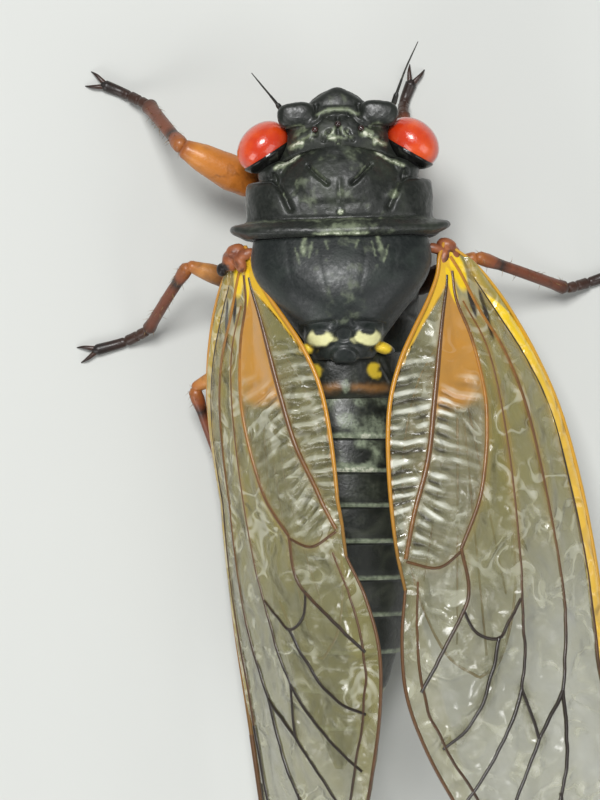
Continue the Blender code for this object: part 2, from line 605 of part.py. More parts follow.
def build():
    """Make every piece of the animal."""
    for old in list(bpy.data.objects):
        bpy.data.objects.remove(old, do_unlink=True)
    black = material("black_shell", (0.030, 0.033, 0.028), 0.32)
    eye = material("red_eye", (0.80, 0.13, 0.04), 0.18)
    feeler = material("feeler", (0.04, 0.03, 0.025), 0.45)
    beak = material("beak", (0.16, 0.07, 0.03), 0.45)
    pale = material("wing_root", (0.55, 0.27, 0.14), 0.4)
    belly = material("abdomen_plates", (0.035, 0.036, 0.028), 0.35)
    orange = material("thigh", (0.75, 0.36, 0.08), 0.35)
    rust = material("shin", (0.36, 0.13, 0.06), 0.4)
    dark = material("foot", (0.07, 0.04, 0.03), 0.45)
    amber = material("forewing_membrane", (0.62, 0.42, 0.14), 0.2)
    clear = material("hindwing_membrane", (0.66, 0.55, 0.33), 0.25)
    make_head(black)
    for name, side in (("left", 1), ("right", -1)):
        ellipsoid("eye_" + name, mirrored(EYE_CENTRE, side), EYE_RADII, eye, 20, 12, side * EYE_TURN)
    for name, path in (("left", ANTENNA_LEFT), ("right", ANTENNA_RIGHT)):
        tube("antenna_" + name, path, [(0, 0.16), (0.06, 0.27), (0.3, 0.25), (0.8, 0.22), (1, 0.09)],
             feeler, 7, 4)
    tube("rostrum", ROSTRUM_PATH, [(0, 0.2), (0.08, 0.34), (0.7, 0.28), (1, 0.14)], beak, 8, 4)
    prothorax = body("prothorax", PROTHORAX_RINGS, 36, black, pronotum_relief, 0.8)
    boolean(prothorax, [body("arch", ARCH_RINGS, 28, black, pronotum_relief, 0.85)], "UNION")
    boolean(prothorax, make_sockets(black), "DIFFERENCE")
    make_mesothorax(black)
    body("metathorax", METATHORAX_RINGS, 24, black, power=1.0)
    make_abdomen(belly)
    for name, side in (("left", 1), ("right", -1)):
        ellipsoid("wing_root_" + name, (side * 4.62, 0.80, 6.45), (0.42, 0.40, 0.40), pale, 10, 7)
        make_wings(name, (amber, clear))
    for name, leg in LEGS.items():
        shape = PROTHORAX_RINGS if name.startswith("fore") else PLEURA_RINGS
        make_leg(name, leg, shape, (orange, rust, dark))


build()
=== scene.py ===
"""Looks of the life-size periodical cicada: its shell, eyes, veined wings, legs and down.

Sizes are in millimetres in the animal's own frame, head towards -Y, its left towards +X,
the floor at z = 0; finished pieces are moved to the solids' frame, in metres.
"""

from __future__ import annotations

import logging
import math
from dataclasses import dataclass, field
from enum import Enum
from functools import reduce
from typing import Any, Callable, Iterable, Sequence

import bmesh
import bpy
import numpy as np
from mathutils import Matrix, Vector


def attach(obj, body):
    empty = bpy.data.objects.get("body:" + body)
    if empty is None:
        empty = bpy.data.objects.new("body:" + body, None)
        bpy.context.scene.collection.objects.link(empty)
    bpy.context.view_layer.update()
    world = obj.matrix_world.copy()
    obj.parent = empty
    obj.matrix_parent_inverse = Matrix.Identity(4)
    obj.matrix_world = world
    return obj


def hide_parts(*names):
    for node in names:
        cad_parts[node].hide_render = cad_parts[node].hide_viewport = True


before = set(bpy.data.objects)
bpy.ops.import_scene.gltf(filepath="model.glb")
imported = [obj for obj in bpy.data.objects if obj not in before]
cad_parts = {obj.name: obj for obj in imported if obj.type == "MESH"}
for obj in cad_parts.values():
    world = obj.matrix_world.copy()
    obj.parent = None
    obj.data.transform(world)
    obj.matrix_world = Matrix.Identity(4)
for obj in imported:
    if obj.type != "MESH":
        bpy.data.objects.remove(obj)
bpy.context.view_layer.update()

Array = np.ndarray
Relief = Callable[[Array], Array]
MM = 0.001
ORIGIN = np.array([-0.678, 12.919, 0.0])
LOG = logging.getLogger("cicada")


class Side(Enum):
    """A side of the body; the value is its sign along X."""

    LEFT = 1
    RIGHT = -1

    @property
    def word(self) -> str:
        """Return the side's name as it stands in the nodes' names."""
        return self.name.lower()


# Curves and fields

def spline(points: Sequence[Sequence[float]], steps: int = 8) -> Array:
    """Sample a smooth curve through points.

    Args:
        points: The points it passes through.
        steps: How many samples each span gets.

    Returns:
        One row for each sample.
    """
    p = np.array(points, float)
    p = np.vstack([2 * p[0] - p[1], p, 2 * p[-1] - p[-2]])
    t = np.linspace(0, 1, steps, endpoint=False)[:, None]
    spans = [0.5 * (2 * b + (c - a) * t + (2 * a - 5 * b + 4 * c - d) * t ** 2
                    + (3 * b - a - 3 * c + d) * t ** 3)
             for a, b, c, d in zip(p, p[1:], p[2:], p[3:])]
    return np.vstack(spans + [p[-2][None]])


def evened(line: Array, count: int) -> Array:
    """Set points along a line at even distances.

    Args:
        line: The line's points.
        count: How many points to set.

    Returns:
        The new points.
    """
    lengths = np.concatenate([[0.0], np.cumsum(np.linalg.norm(np.diff(line, axis=0), axis=1))])
    at = np.linspace(0.0, lengths[-1], count)
    return np.stack([np.interp(at, lengths, line[:, k]) for k in range(line.shape[1])], axis=1)


def reach(points: Array, line: Array) -> Array:
    """Measure how far points lie from a line.

    Args:
        points: The points, with as many columns as the line.
        line: The line's points.

    Returns:
        One distance for each point.
    """
    best = np.full(len(points), 1e9)
    for a, b in zip(line[:-1], line[1:]):
        d = b - a
        t = np.clip(((points - a) @ d) / max(float(d @ d), 1e-12), 0, 1)
        best = np.minimum(best, np.linalg.norm(points - a - t[:, None] * d, axis=1))
    return best


def hill(distance: Array, width: float) -> Array:
    """Return 1 on a feature and less away from it, over about its width."""
    return np.exp(-(distance / width) ** 2)


def ease(value: Array, low: float, high: float) -> Array:
    """Return 0 below the low mark, 1 above the high one, and a smooth rise between."""
    t = np.clip((value - low) / (high - low), 0, 1)
    return t * t * (3 - 2 * t)


def rough(points: Array, size: float, seed: int, octaves: int = 3) -> Array:
    """Make smooth seeded unevenness in space.

    Args:
        points: Where to read it, three columns.
        size: Size of its largest lumps.
        seed: Which pattern it is.
        octaves: How many finer copies are added.

    Returns:
        Values from about -1 to 1.
    """
    total = np.zeros(len(points))
    for octave in range(octaves):
        p = points / (size / 2 ** octave) + 17.3 * octave
        base = np.floor(p).astype(np.int64)
        t = p - base
        t = t * t * (3 - 2 * t)
        value = np.zeros(len(points))
        for corner in np.ndindex(2, 2, 2):
            c = base + np.array(corner)
            h = (c[:, 0] * 73856093) ^ (c[:, 1] * 19349663) ^ (c[:, 2] * 83492791) ^ (seed * 2654435)
            h = (h ^ (h >> 13)) * 1274126177
            w = np.prod(np.where(np.array(corner) == 1, t, 1 - t), axis=1)
            value += w * (((h ^ (h >> 16)) & 0xFFFF) / 32767.5 - 1)
        total += value / 2 ** octave
    return total / 1.6


# Shells

@dataclass
class Shell:
    """A closed surface in the animal's frame, with named values at its points."""

    points: Array
    faces: list[tuple[int, ...]]
    marks: dict[str, Array] = field(default_factory=dict)

    def __add__(self, other: "Shell") -> "Shell":
        """Put two shells together.

        Args:
            other: The second shell.

        Returns:
            One shell, with 0 where a part lacks a named value.
        """
        shift = len(self.points)
        faces = self.faces + [tuple(k + shift for k in f) for f in other.faces]
        marks = {name: np.concatenate([self.marks.get(name, np.zeros(shift)),
                                       other.marks.get(name, np.zeros(len(other.points)))])
                 for name in {**self.marks, **other.marks}}
        return Shell(np.vstack([self.points, other.points]), faces, marks)

    def mesh(self, name: str = "work") -> bpy.types.Mesh:
        """Turn the shell into a mesh.

        Args:
            name: The mesh's name.

        Returns:
            The mesh, still in millimetres, with its faces outwards.
        """
        made = bpy.data.meshes.new(name)
        made.from_pydata(self.points.tolist(), [], self.faces)
        work = bmesh.new()
        work.from_mesh(made)
        bmesh.ops.recalc_face_normals(work, faces=work.faces)
        work.to_mesh(made)
        work.free()
        return made

    def normals(self) -> Array:
        """Return the outward direction at each point."""
        made = self.mesh()
        out = np.zeros(len(self.points) * 3, np.float32)
        made.vertex_normals.foreach_get("vector", out)
        bpy.data.meshes.remove(made)
        return out.reshape(-1, 3).astype(float)

    def raised(self, relief: Relief) -> "Shell":
        """Push the surface in and out.

        Args:
            relief: Gives the height in millimetres at each point.

        Returns:
            The shell itself.
        """
        self.points = self.points + self.normals() * relief(self.points)[:, None]
        return self

    def smoothed(self, rounds: int, share: float = 0.5) -> "Shell":
        """Relax the points towards their neighbours.

        Args:
            rounds: How often.
            share: How far each goes towards its neighbours' middle.

        Returns:
            The shell itself.
        """
        edges = np.array([(f[k], f[(k + 1) % len(f)]) for f in self.faces for k in range(len(f))])
        count = np.bincount(edges.ravel(), minlength=len(self.points)).astype(float)
        for _ in range(rounds):
            total = np.stack([np.bincount(edges[:, 0], self.points[edges[:, 1], k], len(self.points))
                              + np.bincount(edges[:, 1], self.points[edges[:, 0], k], len(self.points))
                              for k in range(3)], axis=1)
            self.points = self.points * (1 - share) + share * total / np.maximum(count, 1)[:, None]
        return self


def joined(shells: Iterable[Shell]) -> Shell:
    """Return shells as one, side by side."""
    return reduce(Shell.__add__, shells)


def placed(points: Array) -> Array:
    """Return points of the animal's frame in the solids' frame, in metres."""
    return (points - ORIGIN) * MM


def from_mesh(mesh: bpy.types.Mesh) -> Shell:
    """Read a mesh back into a shell.

    Args:
        mesh: The mesh, in millimetres.

    Returns:
        The shell, with no named values.
    """
    points = np.zeros(len(mesh.vertices) * 3, np.float32)
    mesh.vertices.foreach_get("co", points)
    return Shell(points.reshape(-1, 3).astype(float), [tuple(p.vertices) for p in mesh.polygons])


def lofted(rings: Array) -> Shell:
    """Skin a row of rings and close both ends.

    Args:
        rings: Rows of rings of points.

    Returns:
        The closed shell.
    """
    count, sides = rings.shape[:2]
    points = [rings.reshape(-1, 3), rings[0].mean(axis=0)[None], rings[-1].mean(axis=0)[None]]
    faces = [(r * sides + k, r * sides + (k + 1) % sides, (r + 1) * sides + (k + 1) % sides,
              (r + 1) * sides + k) for r in range(count - 1) for k in range(sides)]
    hub = count * sides
    last = hub - sides
    faces += [((k + 1) % sides, k, hub) for k in range(sides)]
    faces += [(last + k, last + (k + 1) % sides, hub + 1) for k in range(sides)]
    return Shell(np.vstack(points), faces)


def boxed(value: Array, power: float) -> Array:
    """Return values bent towards their largest, with their signs kept; a power below 1 bends more."""
    return np.sign(value) * np.abs(value) ** power


def ball(centre: Sequence[float], radii: Sequence[float], turn: float = 0.0, fine: int = 24,
         power: float = 1.0) -> Shell:
    """Make a rounded lump.

    Args:
        centre: Its middle.
        radii: Its half sizes along X, Y and Z before it is turned.
        turn: Its turn about Z, in radians.
        fine: How many sides it has round its middle.
        power: Below 1 makes it boxier.

    Returns:
        The closed shell.
    """
    heights = np.linspace(-math.pi / 2, math.pi / 2, fine // 2 + 1)[1:-1]
    around = np.linspace(0, 2 * math.pi, fine, endpoint=False)
    east, north = boxed(np.cos(around), power), boxed(np.sin(around), power)
    rings = []
    for height in heights:
        wide = boxed(np.cos(height), power)
        level = np.full(fine, float(boxed(np.sin(height), power)))
        rings.append(np.stack([east * wide, north * wide, level], axis=1))
    rings = np.array(rings) * np.array(radii)
    c, s = math.cos(turn), math.sin(turn)
    rings = rings @ np.array([[c, s, 0], [-s, c, 0], [0, 0, 1.0]])
    shell = lofted(rings + np.array(centre))
    tip = np.array([0, 0, radii[2]])
    shell.points[-2] = np.array(centre) - tip
    shell.points[-1] = np.array(centre) + tip
    return shell


def tube(path: Sequence[Sequence[float]], radii: Sequence[tuple[float, float]], sides: int = 16,
         steps: int = 10, floor: float | None = None) -> Shell:
    """Skin a round limb along a smooth path.

    Args:
        path: The points its middle passes through.
        radii: Pairs of a share of the length and the radius there.
        sides: How many sides it has.
        steps: How many rings each span of the path gets.
        floor: A height below which it is flattened.

    Returns:
        The closed shell, with the share of the length as the mark "along".
    """
    line = spline(path, steps)
    share = np.concatenate([[0], np.cumsum(np.linalg.norm(np.diff(line, axis=0), axis=1))])
    share /= share[-1]
    radius = np.interp(share, [a for a, _ in radii], [b for _, b in radii])
    ahead = np.gradient(line, axis=0)
    ahead /= np.linalg.norm(ahead, axis=1)[:, None]
    side = np.cross(ahead[0], (0, 0, 1.0))
    rings = []
    for k, centre in enumerate(line):
        side = side - ahead[k] * (side @ ahead[k])
        side /= np.linalg.norm(side)
        up = np.cross(side, ahead[k])
        angle = 2 * math.pi * (np.arange(sides) + 0.5) / sides
        ring = np.outer(np.cos(angle), side) + np.outer(np.sin(angle), up)
        rings.append(centre + radius[k] * ring)
    rings = np.array(rings)
    if floor is not None:
        rings[..., 2] = np.maximum(rings[..., 2], floor)
    shell = lofted(rings)
    shell.marks["along"] = np.concatenate([np.repeat(share, sides), [0.0, 1.0]])
    return shell


def fused(shells: Iterable[Shell], voxel: float, rounds: int) -> Shell:
    """Melt overlapping shells into one smooth skin.

    Args:
        shells: The shells to melt.
        voxel: Size of the new skin's faces.
        rounds: How often the skin is relaxed.

    Returns:
        The one closed shell.
    """
    made = bpy.data.objects.new("melt", joined(shells).mesh())
    bpy.context.scene.collection.objects.link(made)
    step = made.modifiers.new("melt", "REMESH")
    step.mode = "VOXEL"
    step.voxel_size = voxel
    seen = made.evaluated_get(bpy.context.evaluated_depsgraph_get())
    mesh = bpy.data.meshes.new_from_object(seen)
    skin = from_mesh(mesh)
    bpy.data.objects.remove(made, do_unlink=True)
    bpy.data.meshes.remove(mesh)
    return skin.smoothed(rounds)


def section(y: float, half: float, low: float, level: float, top: float, sides: int, power: float) -> Array:
    """Make one cross-section of the body.

    Args:
        y: Its place along the body.
        half: Half its width.
        low: Its lowest height.
        level: The height where it is widest.
        top: Its highest height.
        sides: How many points it has.
        power: Below 1 makes it boxier.

    Returns:
        Its points.
    """
    angle = 2 * math.pi * np.arange(sides) / sides
    c, s = np.cos(angle), np.sin(angle)
    x = half * boxed(c, power)
    z = level + np.where(s >= 0, top - level, level - low) * boxed(s, power)
    return np.stack([x, np.full(sides, y), z], axis=1)


def trunk(shape: Sequence[Sequence[float]], steps: int, sides: int, power: float = 0.9) -> Shell:
    """Skin cross-sections along Y.

    Args:
        shape: Rows of y, half width, low, widest level and top.
        steps: How many rings each span gets.
        sides: How many sides each ring has.
        power: Below 1 makes the rings boxier.

    Returns:
        The closed shell.
    """
    return lofted(np.array([section(*row, sides, power) for row in spline(shape, steps)]))


def piece(name: str, shell: Shell, look: bpy.types.Material, nodes: Sequence[str] = ()) -> bpy.types.Object:
    """Turn a shell into a finished piece in the solids' frame.

    Args:
        name: The piece's name.
        shell: Its surface, in millimetres.
        look: Its material.
        nodes: The solids that it stands for.

    Returns:
        The piece.
    """
    mesh = shell.mesh(name)
    mesh.vertices.foreach_set("co", placed(shell.points).astype(np.float32).ravel())
    for mark, values in shell.marks.items():
        spot = mesh.attributes.new(mark, "FLOAT", "POINT")
        spot.data.foreach_set("value", values.astype(np.float32))
    mesh.materials.append(look)
    mesh.shade_smooth()
    mesh.update()
    made = bpy.data.objects.new(name, mesh)
    bpy.context.scene.collection.objects.link(made)
    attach(made, "root")
    if nodes:
        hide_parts(*nodes)
    LOG.info("%s: %d faces", name, len(mesh.polygons))
    return made


# Shader building

class Val:
    """A number or a socket in a node tree, used in sums as a Python number is."""

    def __init__(self, tree: "Tree", source: Any) -> None:
        """Wrap a socket or a number of a tree."""
        self.tree = tree
        self.source = source

    def _math(self, operation: str, a: Any, b: Any) -> "Val":
        """Add one Math node for an operation on two values."""
        return self.tree.node("ShaderNodeMath", {"operation": operation}, {0: a, 1: b}, "Value")

    def __add__(self, other: Any) -> "Val":
        """Return the sum."""
        return self._math("ADD", self, other)

    def __radd__(self, other: Any) -> "Val":
        """Return the sum with a number first."""
        return self._math("ADD", other, self)

    def __sub__(self, other: Any) -> "Val":
        """Return the difference."""
        return self._math("SUBTRACT", self, other)

    def __rsub__(self, other: Any) -> "Val":
        """Return a number less this value."""
        return self._math("SUBTRACT", other, self)

    def __mul__(self, other: Any) -> "Val":
        """Return the product."""
        return self._math("MULTIPLY", self, other)

    def __rmul__(self, other: Any) -> "Val":
        """Return the product with a number first."""
        return self._math("MULTIPLY", other, self)

    def between(self, low: float, high: float) -> "Val":
        """Return a smooth rise from 0 at the low mark to 1 at the high one."""
        return self.tree.node("ShaderNodeMapRange", {"interpolation_type": "SMOOTHSTEP"},
                              {"Value": self, "From Min": low, "From Max": high}, "Result")


class Tree:
    """A material's node tree, with one method that adds any node."""

    def __init__(self, name: str) -> None:
        """Start an empty material with its shader and output."""
        self.material = bpy.data.materials.new(name)
        self.material.use_nodes = True
        self.links = self.material.node_tree.links
        self.nodes = self.material.node_tree.nodes
        self.shader = self.nodes["Principled BSDF"]

    def node(self, kind: str, settings: dict[str, Any], values: dict[Any, Any], output: Any = 0) -> Val:
        """Add a node.

        Args:
            kind: The node's type.
            settings: Its own settings, set first; "stops" fills a colour ramp.
            values: A number, colour or link for each named or numbered input.
            output: Which output to return.

        Returns:
            The output, wrapped.
        """
        made = self.nodes.new(kind)
        for key, value in settings.items():
            if key == "stops":
                ramp = made.color_ramp.elements
                while len(ramp) < len(value):
                    ramp.new(0.5)
                for element, (at, colour) in zip(ramp, value):
                    element.position = at
                    element.color = (*colour, 1.0)
            else:
                setattr(made, key, value)
        for key, value in values.items():
            self.feed(made.inputs[key], value)
        return Val(self, made.outputs[output])

    def feed(self, socket: Any, value: Any) -> None:
        """Set a socket.

        Args:
            socket: The socket.
            value: A number, a colour, or another node's output to link.
        """
        if isinstance(value, Val):
            value = value.source
        if isinstance(value, bpy.types.NodeSocket):
            self.links.new(value, socket)
        elif isinstance(value, tuple) and len(value) == 3 and len(socket.default_value) == 4:
            socket.default_value = (*value, 1.0)
        else:
            socket.default_value = value

    def place(self) -> Val:
        """Return the point's own place on its piece, in metres."""
        return self.node("ShaderNodeTexCoord", {}, {}, "Object")

    def mark(self, name: str) -> Val:
        """Return a named value of the mesh."""
        return self.node("ShaderNodeAttribute", {"attribute_name": name}, {}, "Fac")

    def noise(self, size: float, detail: float = 3.0, skew: float = 0.0) -> Val:
        """Return noise whose lumps have a size in millimetres, from 0 to 1."""
        return self.node("ShaderNodeTexNoise", {}, {"Vector": self.place(), "Scale": 1 / (size * MM),
                                                    "Detail": detail, "Distortion": skew}, "Fac")

    def cells(self, size: float) -> Val:
        """Return the distance within cells of a size in millimetres."""
        return self.node("ShaderNodeTexVoronoi", {}, {"Vector": self.place(), "Scale": 1 / (size * MM)},
                         "Distance")

    def blend(self, share: Any, first: Any, second: Any) -> Val:
        """Return a mix of two colours by a share."""
        return self.node("ShaderNodeMix", {"data_type": "RGBA"}, {0: share, 6: first, 7: second}, 2)

    def ramp(self, value: Any, stops: list[tuple[float, tuple[float, float, float]]]) -> Val:
        """Return the colour that a value has on a ramp."""
        return self.node("ShaderNodeValToRGB", {"stops": stops}, {0: value}, 0)

    def bump(self, height: Val, depth: float, below: Val | None = None) -> Val:
        """Return a bumped normal.

        Args:
            height: The height, from about 0 to 1.
            depth: How deep it is, in millimetres.
            below: A normal that it lies on.

        Returns:
            The new normal.
        """
        values: dict[Any, Any] = {"Height": height, "Distance": depth * MM, "Strength": 1.0}
        if below is not None:
            values["Normal"] = below
        return self.node("ShaderNodeBump", {}, values, 0)

    def finish(self, **values: Any) -> bpy.types.Material:
        """Feed the shader and close the material.

        Args:
            **values: A value or link for each shader socket, named with _ for spaces.

        Returns:
            The material.
        """
        for key, value in values.items():
            self.feed(self.shader.inputs[key.replace("_", " ")], value)
        return self.material


Colour = tuple[float, float, float]


@dataclass(frozen=True)
class ShellLook:
    """Dark, satin shell with a fine downy haze, pale marks and shallow pits; some pale marks are painted
    highlights and painted sheen.
    """

    name: str
    dark: Colour
    worn: Colour
    pale: Colour = (0.18, 0.21, 0.13)
    # white is the palest marks' colour: real pale lines, and painted highlights where the pale mark is
    # strongest.
    white: Colour = (0.62, 0.64, 0.50)
    cream: Colour = (0.86, 0.84, 0.42)
    gold: Colour = (0.80, 0.56, 0.03)
    tan: Colour = (0.26, 0.12, 0.03)
    rough: float = 0.40
    coarse: float = 0.018

    def make(self) -> bpy.types.Material:
        """Return the material."""
        t = Tree(self.name)
        mottle = t.noise(1.3, 5.0, 0.6)
        fine = t.noise(0.16, 4.0)
        base = t.blend(mottle.between(0.42, 0.72) * 0.75 * (1 - t.mark("wet")), self.dark, self.worn)
        base = t.blend(fine.between(0.5, 0.8) * 0.25, base, self.worn)
        # The pale mark carries real pale marks and, on some pieces, painted highlights and painted sheen.
        pale = t.mark("pale") * (0.6 + 0.4 * fine.between(0.35, 0.6))
        base = t.blend(pale.between(0.0, 0.6), base, self.pale)
        base = t.blend(pale.between(0.55, 1.0), base, self.white)
        base = t.blend(t.mark("cream") * (0.75 + 0.25 * fine), base, self.cream)
        base = t.blend(t.mark("gold"), base, self.gold)
        base = t.blend(t.mark("tan") * (0.6 + 0.4 * fine), base, self.tan)
        pits = t.cells(0.11)
        wrinkle = t.noise(0.35, 4.0, 1.0)
        bumped = t.bump(pits, 0.004, t.bump(wrinkle, self.coarse))
        gloss = self.rough + 0.22 * fine.between(0.3, 0.75) - 0.06 * t.mark("wet")
        return t.finish(Base_Color=base, Roughness=gloss, Normal=bumped, Coat_Weight=0.12,
                        Coat_Roughness=0.25, Sheen_Weight=0.12, Sheen_Roughness=0.4)


@dataclass(frozen=True)
class EyeLook:
    """Glossy compound eye of fine facets over a deeper red."""

    name: str
    bright: Colour
    deep: Colour

    def make(self) -> bpy.types.Material:
        """Return the material."""
        t = Tree(self.name)
        lens = t.cells(0.045)
        glow = t.noise(1.1, 2.0)
        base = t.blend(glow.between(0.35, 0.7), self.deep, self.bright)
        base = t.blend(lens.between(0.3, 0.75) * 0.35, base, self.deep)
        return t.finish(Base_Color=base, Roughness=0.2, Normal=t.bump(1 - lens, 0.008), Coat_Weight=0.8,
                        Coat_Roughness=0.06)


@dataclass(frozen=True)
class LimbLook:
    """Limb that changes colour along its length, with a dark band and fine ridges."""

    name: str
    stops: tuple[tuple[float, Colour], ...]
    stain: Colour = (0.06, 0.02, 0.008)
    rough: float = 0.34

    def make(self) -> bpy.types.Material:
        """Return the material."""
        t = Tree(self.name)
        stain = t.noise(0.5, 4.0, 0.8)
        fine = t.noise(0.09, 3.0)
        along = t.mark("along") + (stain - 0.5) * 0.06
        base = t.ramp(along, list(self.stops))
        base = t.blend(stain.between(0.5, 0.8) * 0.45, base, self.stain)
        return t.finish(Base_Color=base, Roughness=self.rough + 0.2 * fine, Normal=t.bump(fine, 0.02),
                        Coat_Weight=0.2, Coat_Roughness=0.2)


@dataclass(frozen=True)
class MembraneLook:
    """Clear smoky wing skin: amber and olive cells, a yellow front band, painted highlights on the pleats'
    crests and as glints, and painted shade in the pleats' troughs.
    """

    name: str
    clear: Colour = (0.35, 0.34, 0.19)
    amber: Colour = (0.58, 0.25, 0.02)
    olive: Colour = (0.27, 0.23, 0.045)
    yellow: Colour = (0.88, 0.60, 0.01)
    straw: Colour = (0.72, 0.42, 0.07)
    # pleat is the whitish colour of painted highlights: on the pleats' crests and in the glints.
    pleat: Colour = (0.82, 0.83, 0.72)
    # smoke darkens the smoky clouds and wedges, and is also painted shade in the pleats' troughs.
    smoke: Colour = (0.03, 0.022, 0.012)
    sheer: float = 0.30

    def make(self) -> bpy.types.Material:
        """Return the material."""
        t = Tree(self.name)
        cloud = t.noise(1.6, 2.0, 0.8)
        grain = t.noise(0.22, 2.0, 0.5)
        facets = t.cells(0.9)
        fold = t.noise(1.5, 1.0, 1.2) - 0.5
        calm = 1 - 0.8 * t.mark("amber")
        # glint: painted glints, whitish streaks of painted highlight on the skin outside the amber.
        glint = (1 - 260 * fold * fold).between(0.0, 1.0) * cloud.between(0.42, 0.60) * calm
        base = t.blend(t.mark("olive") * (0.7 + 0.3 * cloud), self.clear, self.olive)
        base = t.blend(t.mark("amber") * (0.7 + 0.3 * cloud), base, self.amber)
        # Painted highlights on the glints and the pleats' crests; painted shade in the pleats' troughs.
        base = t.blend(glint * 0.35, base, self.pleat)
        base = t.blend(t.mark("crest"), base, self.pleat)
        base = t.blend(t.mark("trough") * 0.9, base, self.smoke)
        base = t.blend(t.mark("smoke"), base, self.smoke)
        gilded = t.blend(t.mark("fade") * (0.55 + 0.45 * cloud), self.yellow, self.straw)
        base = t.blend(t.mark("yellow"), base, gilded)
        see = self.sheer + 0.48 * t.mark("amber") + 0.30 * t.mark("olive") + 0.20 * (cloud - 0.5)
        # Painted highlights and painted shade also make the skin more opaque where they lie.
        see = see + t.mark("yellow") + 0.6 * t.mark("smoke") + 0.45 * t.mark("crest")
        see = see + 0.4 * t.mark("trough") + 0.16 * glint
        wrinkle = t.bump(fold * calm, 0.38)
        bumped = t.bump(grain, 0.012, t.bump(facets * calm, 0.24, wrinkle))
        return t.finish(Base_Color=base, Roughness=0.14 + 0.16 * grain, Alpha=see.between(0.0, 1.0),
                        Normal=bumped, Coat_Weight=0.7, Coat_Roughness=0.07, Specular_IOR_Level=0.8)


@dataclass(frozen=True)
class VeinLook:
    """Veins that run from orange through brown to black, and gold along the front margin."""

    name: str
    base: Colour = (0.50, 0.21, 0.015)
    middle: Colour = (0.13, 0.055, 0.014)
    tip: Colour = (0.016, 0.009, 0.005)
    gold: Colour = (0.84, 0.55, 0.02)

    def make(self) -> bpy.types.Material:
        """Return the material."""
        t = Tree(self.name)
        grain = t.noise(0.3, 4.0)
        tone = t.mark("age") + (grain - 0.5) * 0.25
        base = t.blend(tone.between(0.1, 0.5), self.base, self.middle)
        base = t.blend(tone.between(0.5, 0.9), base, self.tip)
        base = t.blend(t.mark("gold") * (0.8 + 0.2 * grain), base, self.gold)
        bumped = t.bump(t.noise(0.08, 2.0), 0.012)
        return t.finish(Base_Color=base, Roughness=0.3 + 0.2 * grain, Normal=bumped,
                        Coat_Weight=0.3, Coat_Roughness=0.15)


@dataclass(frozen=True)
class PlainLook:
    """Even finish with a fine grain, for bristles, beak, feelers, hinges, eye rims and the floor."""

    name: str
    colour: Colour
    second: Colour
    size: float = 0.2
    rough: float = 0.5
    depth: float = 0.01
    dark: Colour = (0.01, 0.01, 0.01)

    def make(self) -> bpy.types.Material:
        """Return the material."""
        t = Tree(self.name)
        grain = t.noise(self.size, 4.0)
        base = t.blend(grain.between(0.35, 0.7), self.colour, self.second)
        return t.finish(Base_Color=t.blend(t.mark("dark"), base, self.dark),
                        Roughness=self.rough + 0.15 * grain, Normal=t.bump(grain, self.depth))


# Geometry Nodes

@dataclass
class VeinTubes:
    """Geometry Nodes tree that skins lines as round tubes, each as thick as its own radius."""

    sides: int = 8

    def group(self, look: bpy.types.Material) -> bpy.types.NodeTree:
        """Build the tree.

        Args:
            look: The material that the tubes get.

        Returns:
            The node group, with the input "Sides".
        """
        group = bpy.data.node_groups.new("vein_tubes", "GeometryNodeTree")
        group.interface.new_socket("Geometry", in_out="INPUT", socket_type="NodeSocketGeometry")
        sides = group.interface.new_socket("Sides", in_out="INPUT", socket_type="NodeSocketInt")
        sides.default_value = self.sides
        group.interface.new_socket("Geometry", in_out="OUTPUT", socket_type="NodeSocketGeometry")
        add, link = group.nodes.new, group.links.new
        start, end = add("NodeGroupInput"), add("NodeGroupOutput")
        lines = add("GeometryNodeMeshToCurve")
        size = add("GeometryNodeInputNamedAttribute")
        size.data_type = "FLOAT"
        size.inputs["Name"].default_value = "radius"
        circle = add("GeometryNodeCurvePrimitiveCircle")
        circle.inputs["Radius"].default_value = 1.0
        skin = add("GeometryNodeCurveToMesh")
        skin.inputs["Fill Caps"].default_value = True
        realize, paint = add("GeometryNodeRealizeInstances"), add("GeometryNodeSetMaterial")
        paint.inputs["Material"].default_value = look
        link(start.outputs["Geometry"], lines.inputs["Mesh"])
        link(lines.outputs["Curve"], skin.inputs["Curve"])
        link(size.outputs["Attribute"], skin.inputs["Scale"])
        link(start.outputs["Sides"], circle.inputs["Resolution"])
        link(circle.outputs["Curve"], skin.inputs["Profile Curve"])
        link(skin.outputs["Mesh"], realize.inputs["Geometry"])
        link(realize.outputs["Geometry"], paint.inputs["Geometry"])
        link(paint.outputs["Geometry"], end.inputs["Geometry"])
        return group

    def skin(self, name: str, lines: list[tuple[Array, ...]], look: bpy.types.Material) -> bpy.types.Object:
        """Skin lines as one piece.

        Args:
            name: The piece's name.
            lines: For each line its points, radii, ages and shares of gold.
            look: The material.

        Returns:
            The finished piece.
        """
        points = np.vstack([row[0] for row in lines])
        edges, start = [], 0
        for p, *_ in lines:
            edges += [(start + k, start + k + 1) for k in range(len(p) - 1)]
            start += len(p)
        mesh = bpy.data.meshes.new(name)
        mesh.from_pydata(placed(points).tolist(), edges, [])
        for mark, column, scale in (("radius", 1, MM), ("age", 2, 1.0), ("gold", 3, 1.0)):
            spot = mesh.attributes.new(mark, "FLOAT", "POINT")
            values = np.concatenate([row[column] for row in lines]).astype(np.float32)
            spot.data.foreach_set("value", values * scale)
        made = bpy.data.objects.new(name, mesh)
        bpy.context.scene.collection.objects.link(made)
        return baked(made, self.group(look), {"Sides": self.sides})


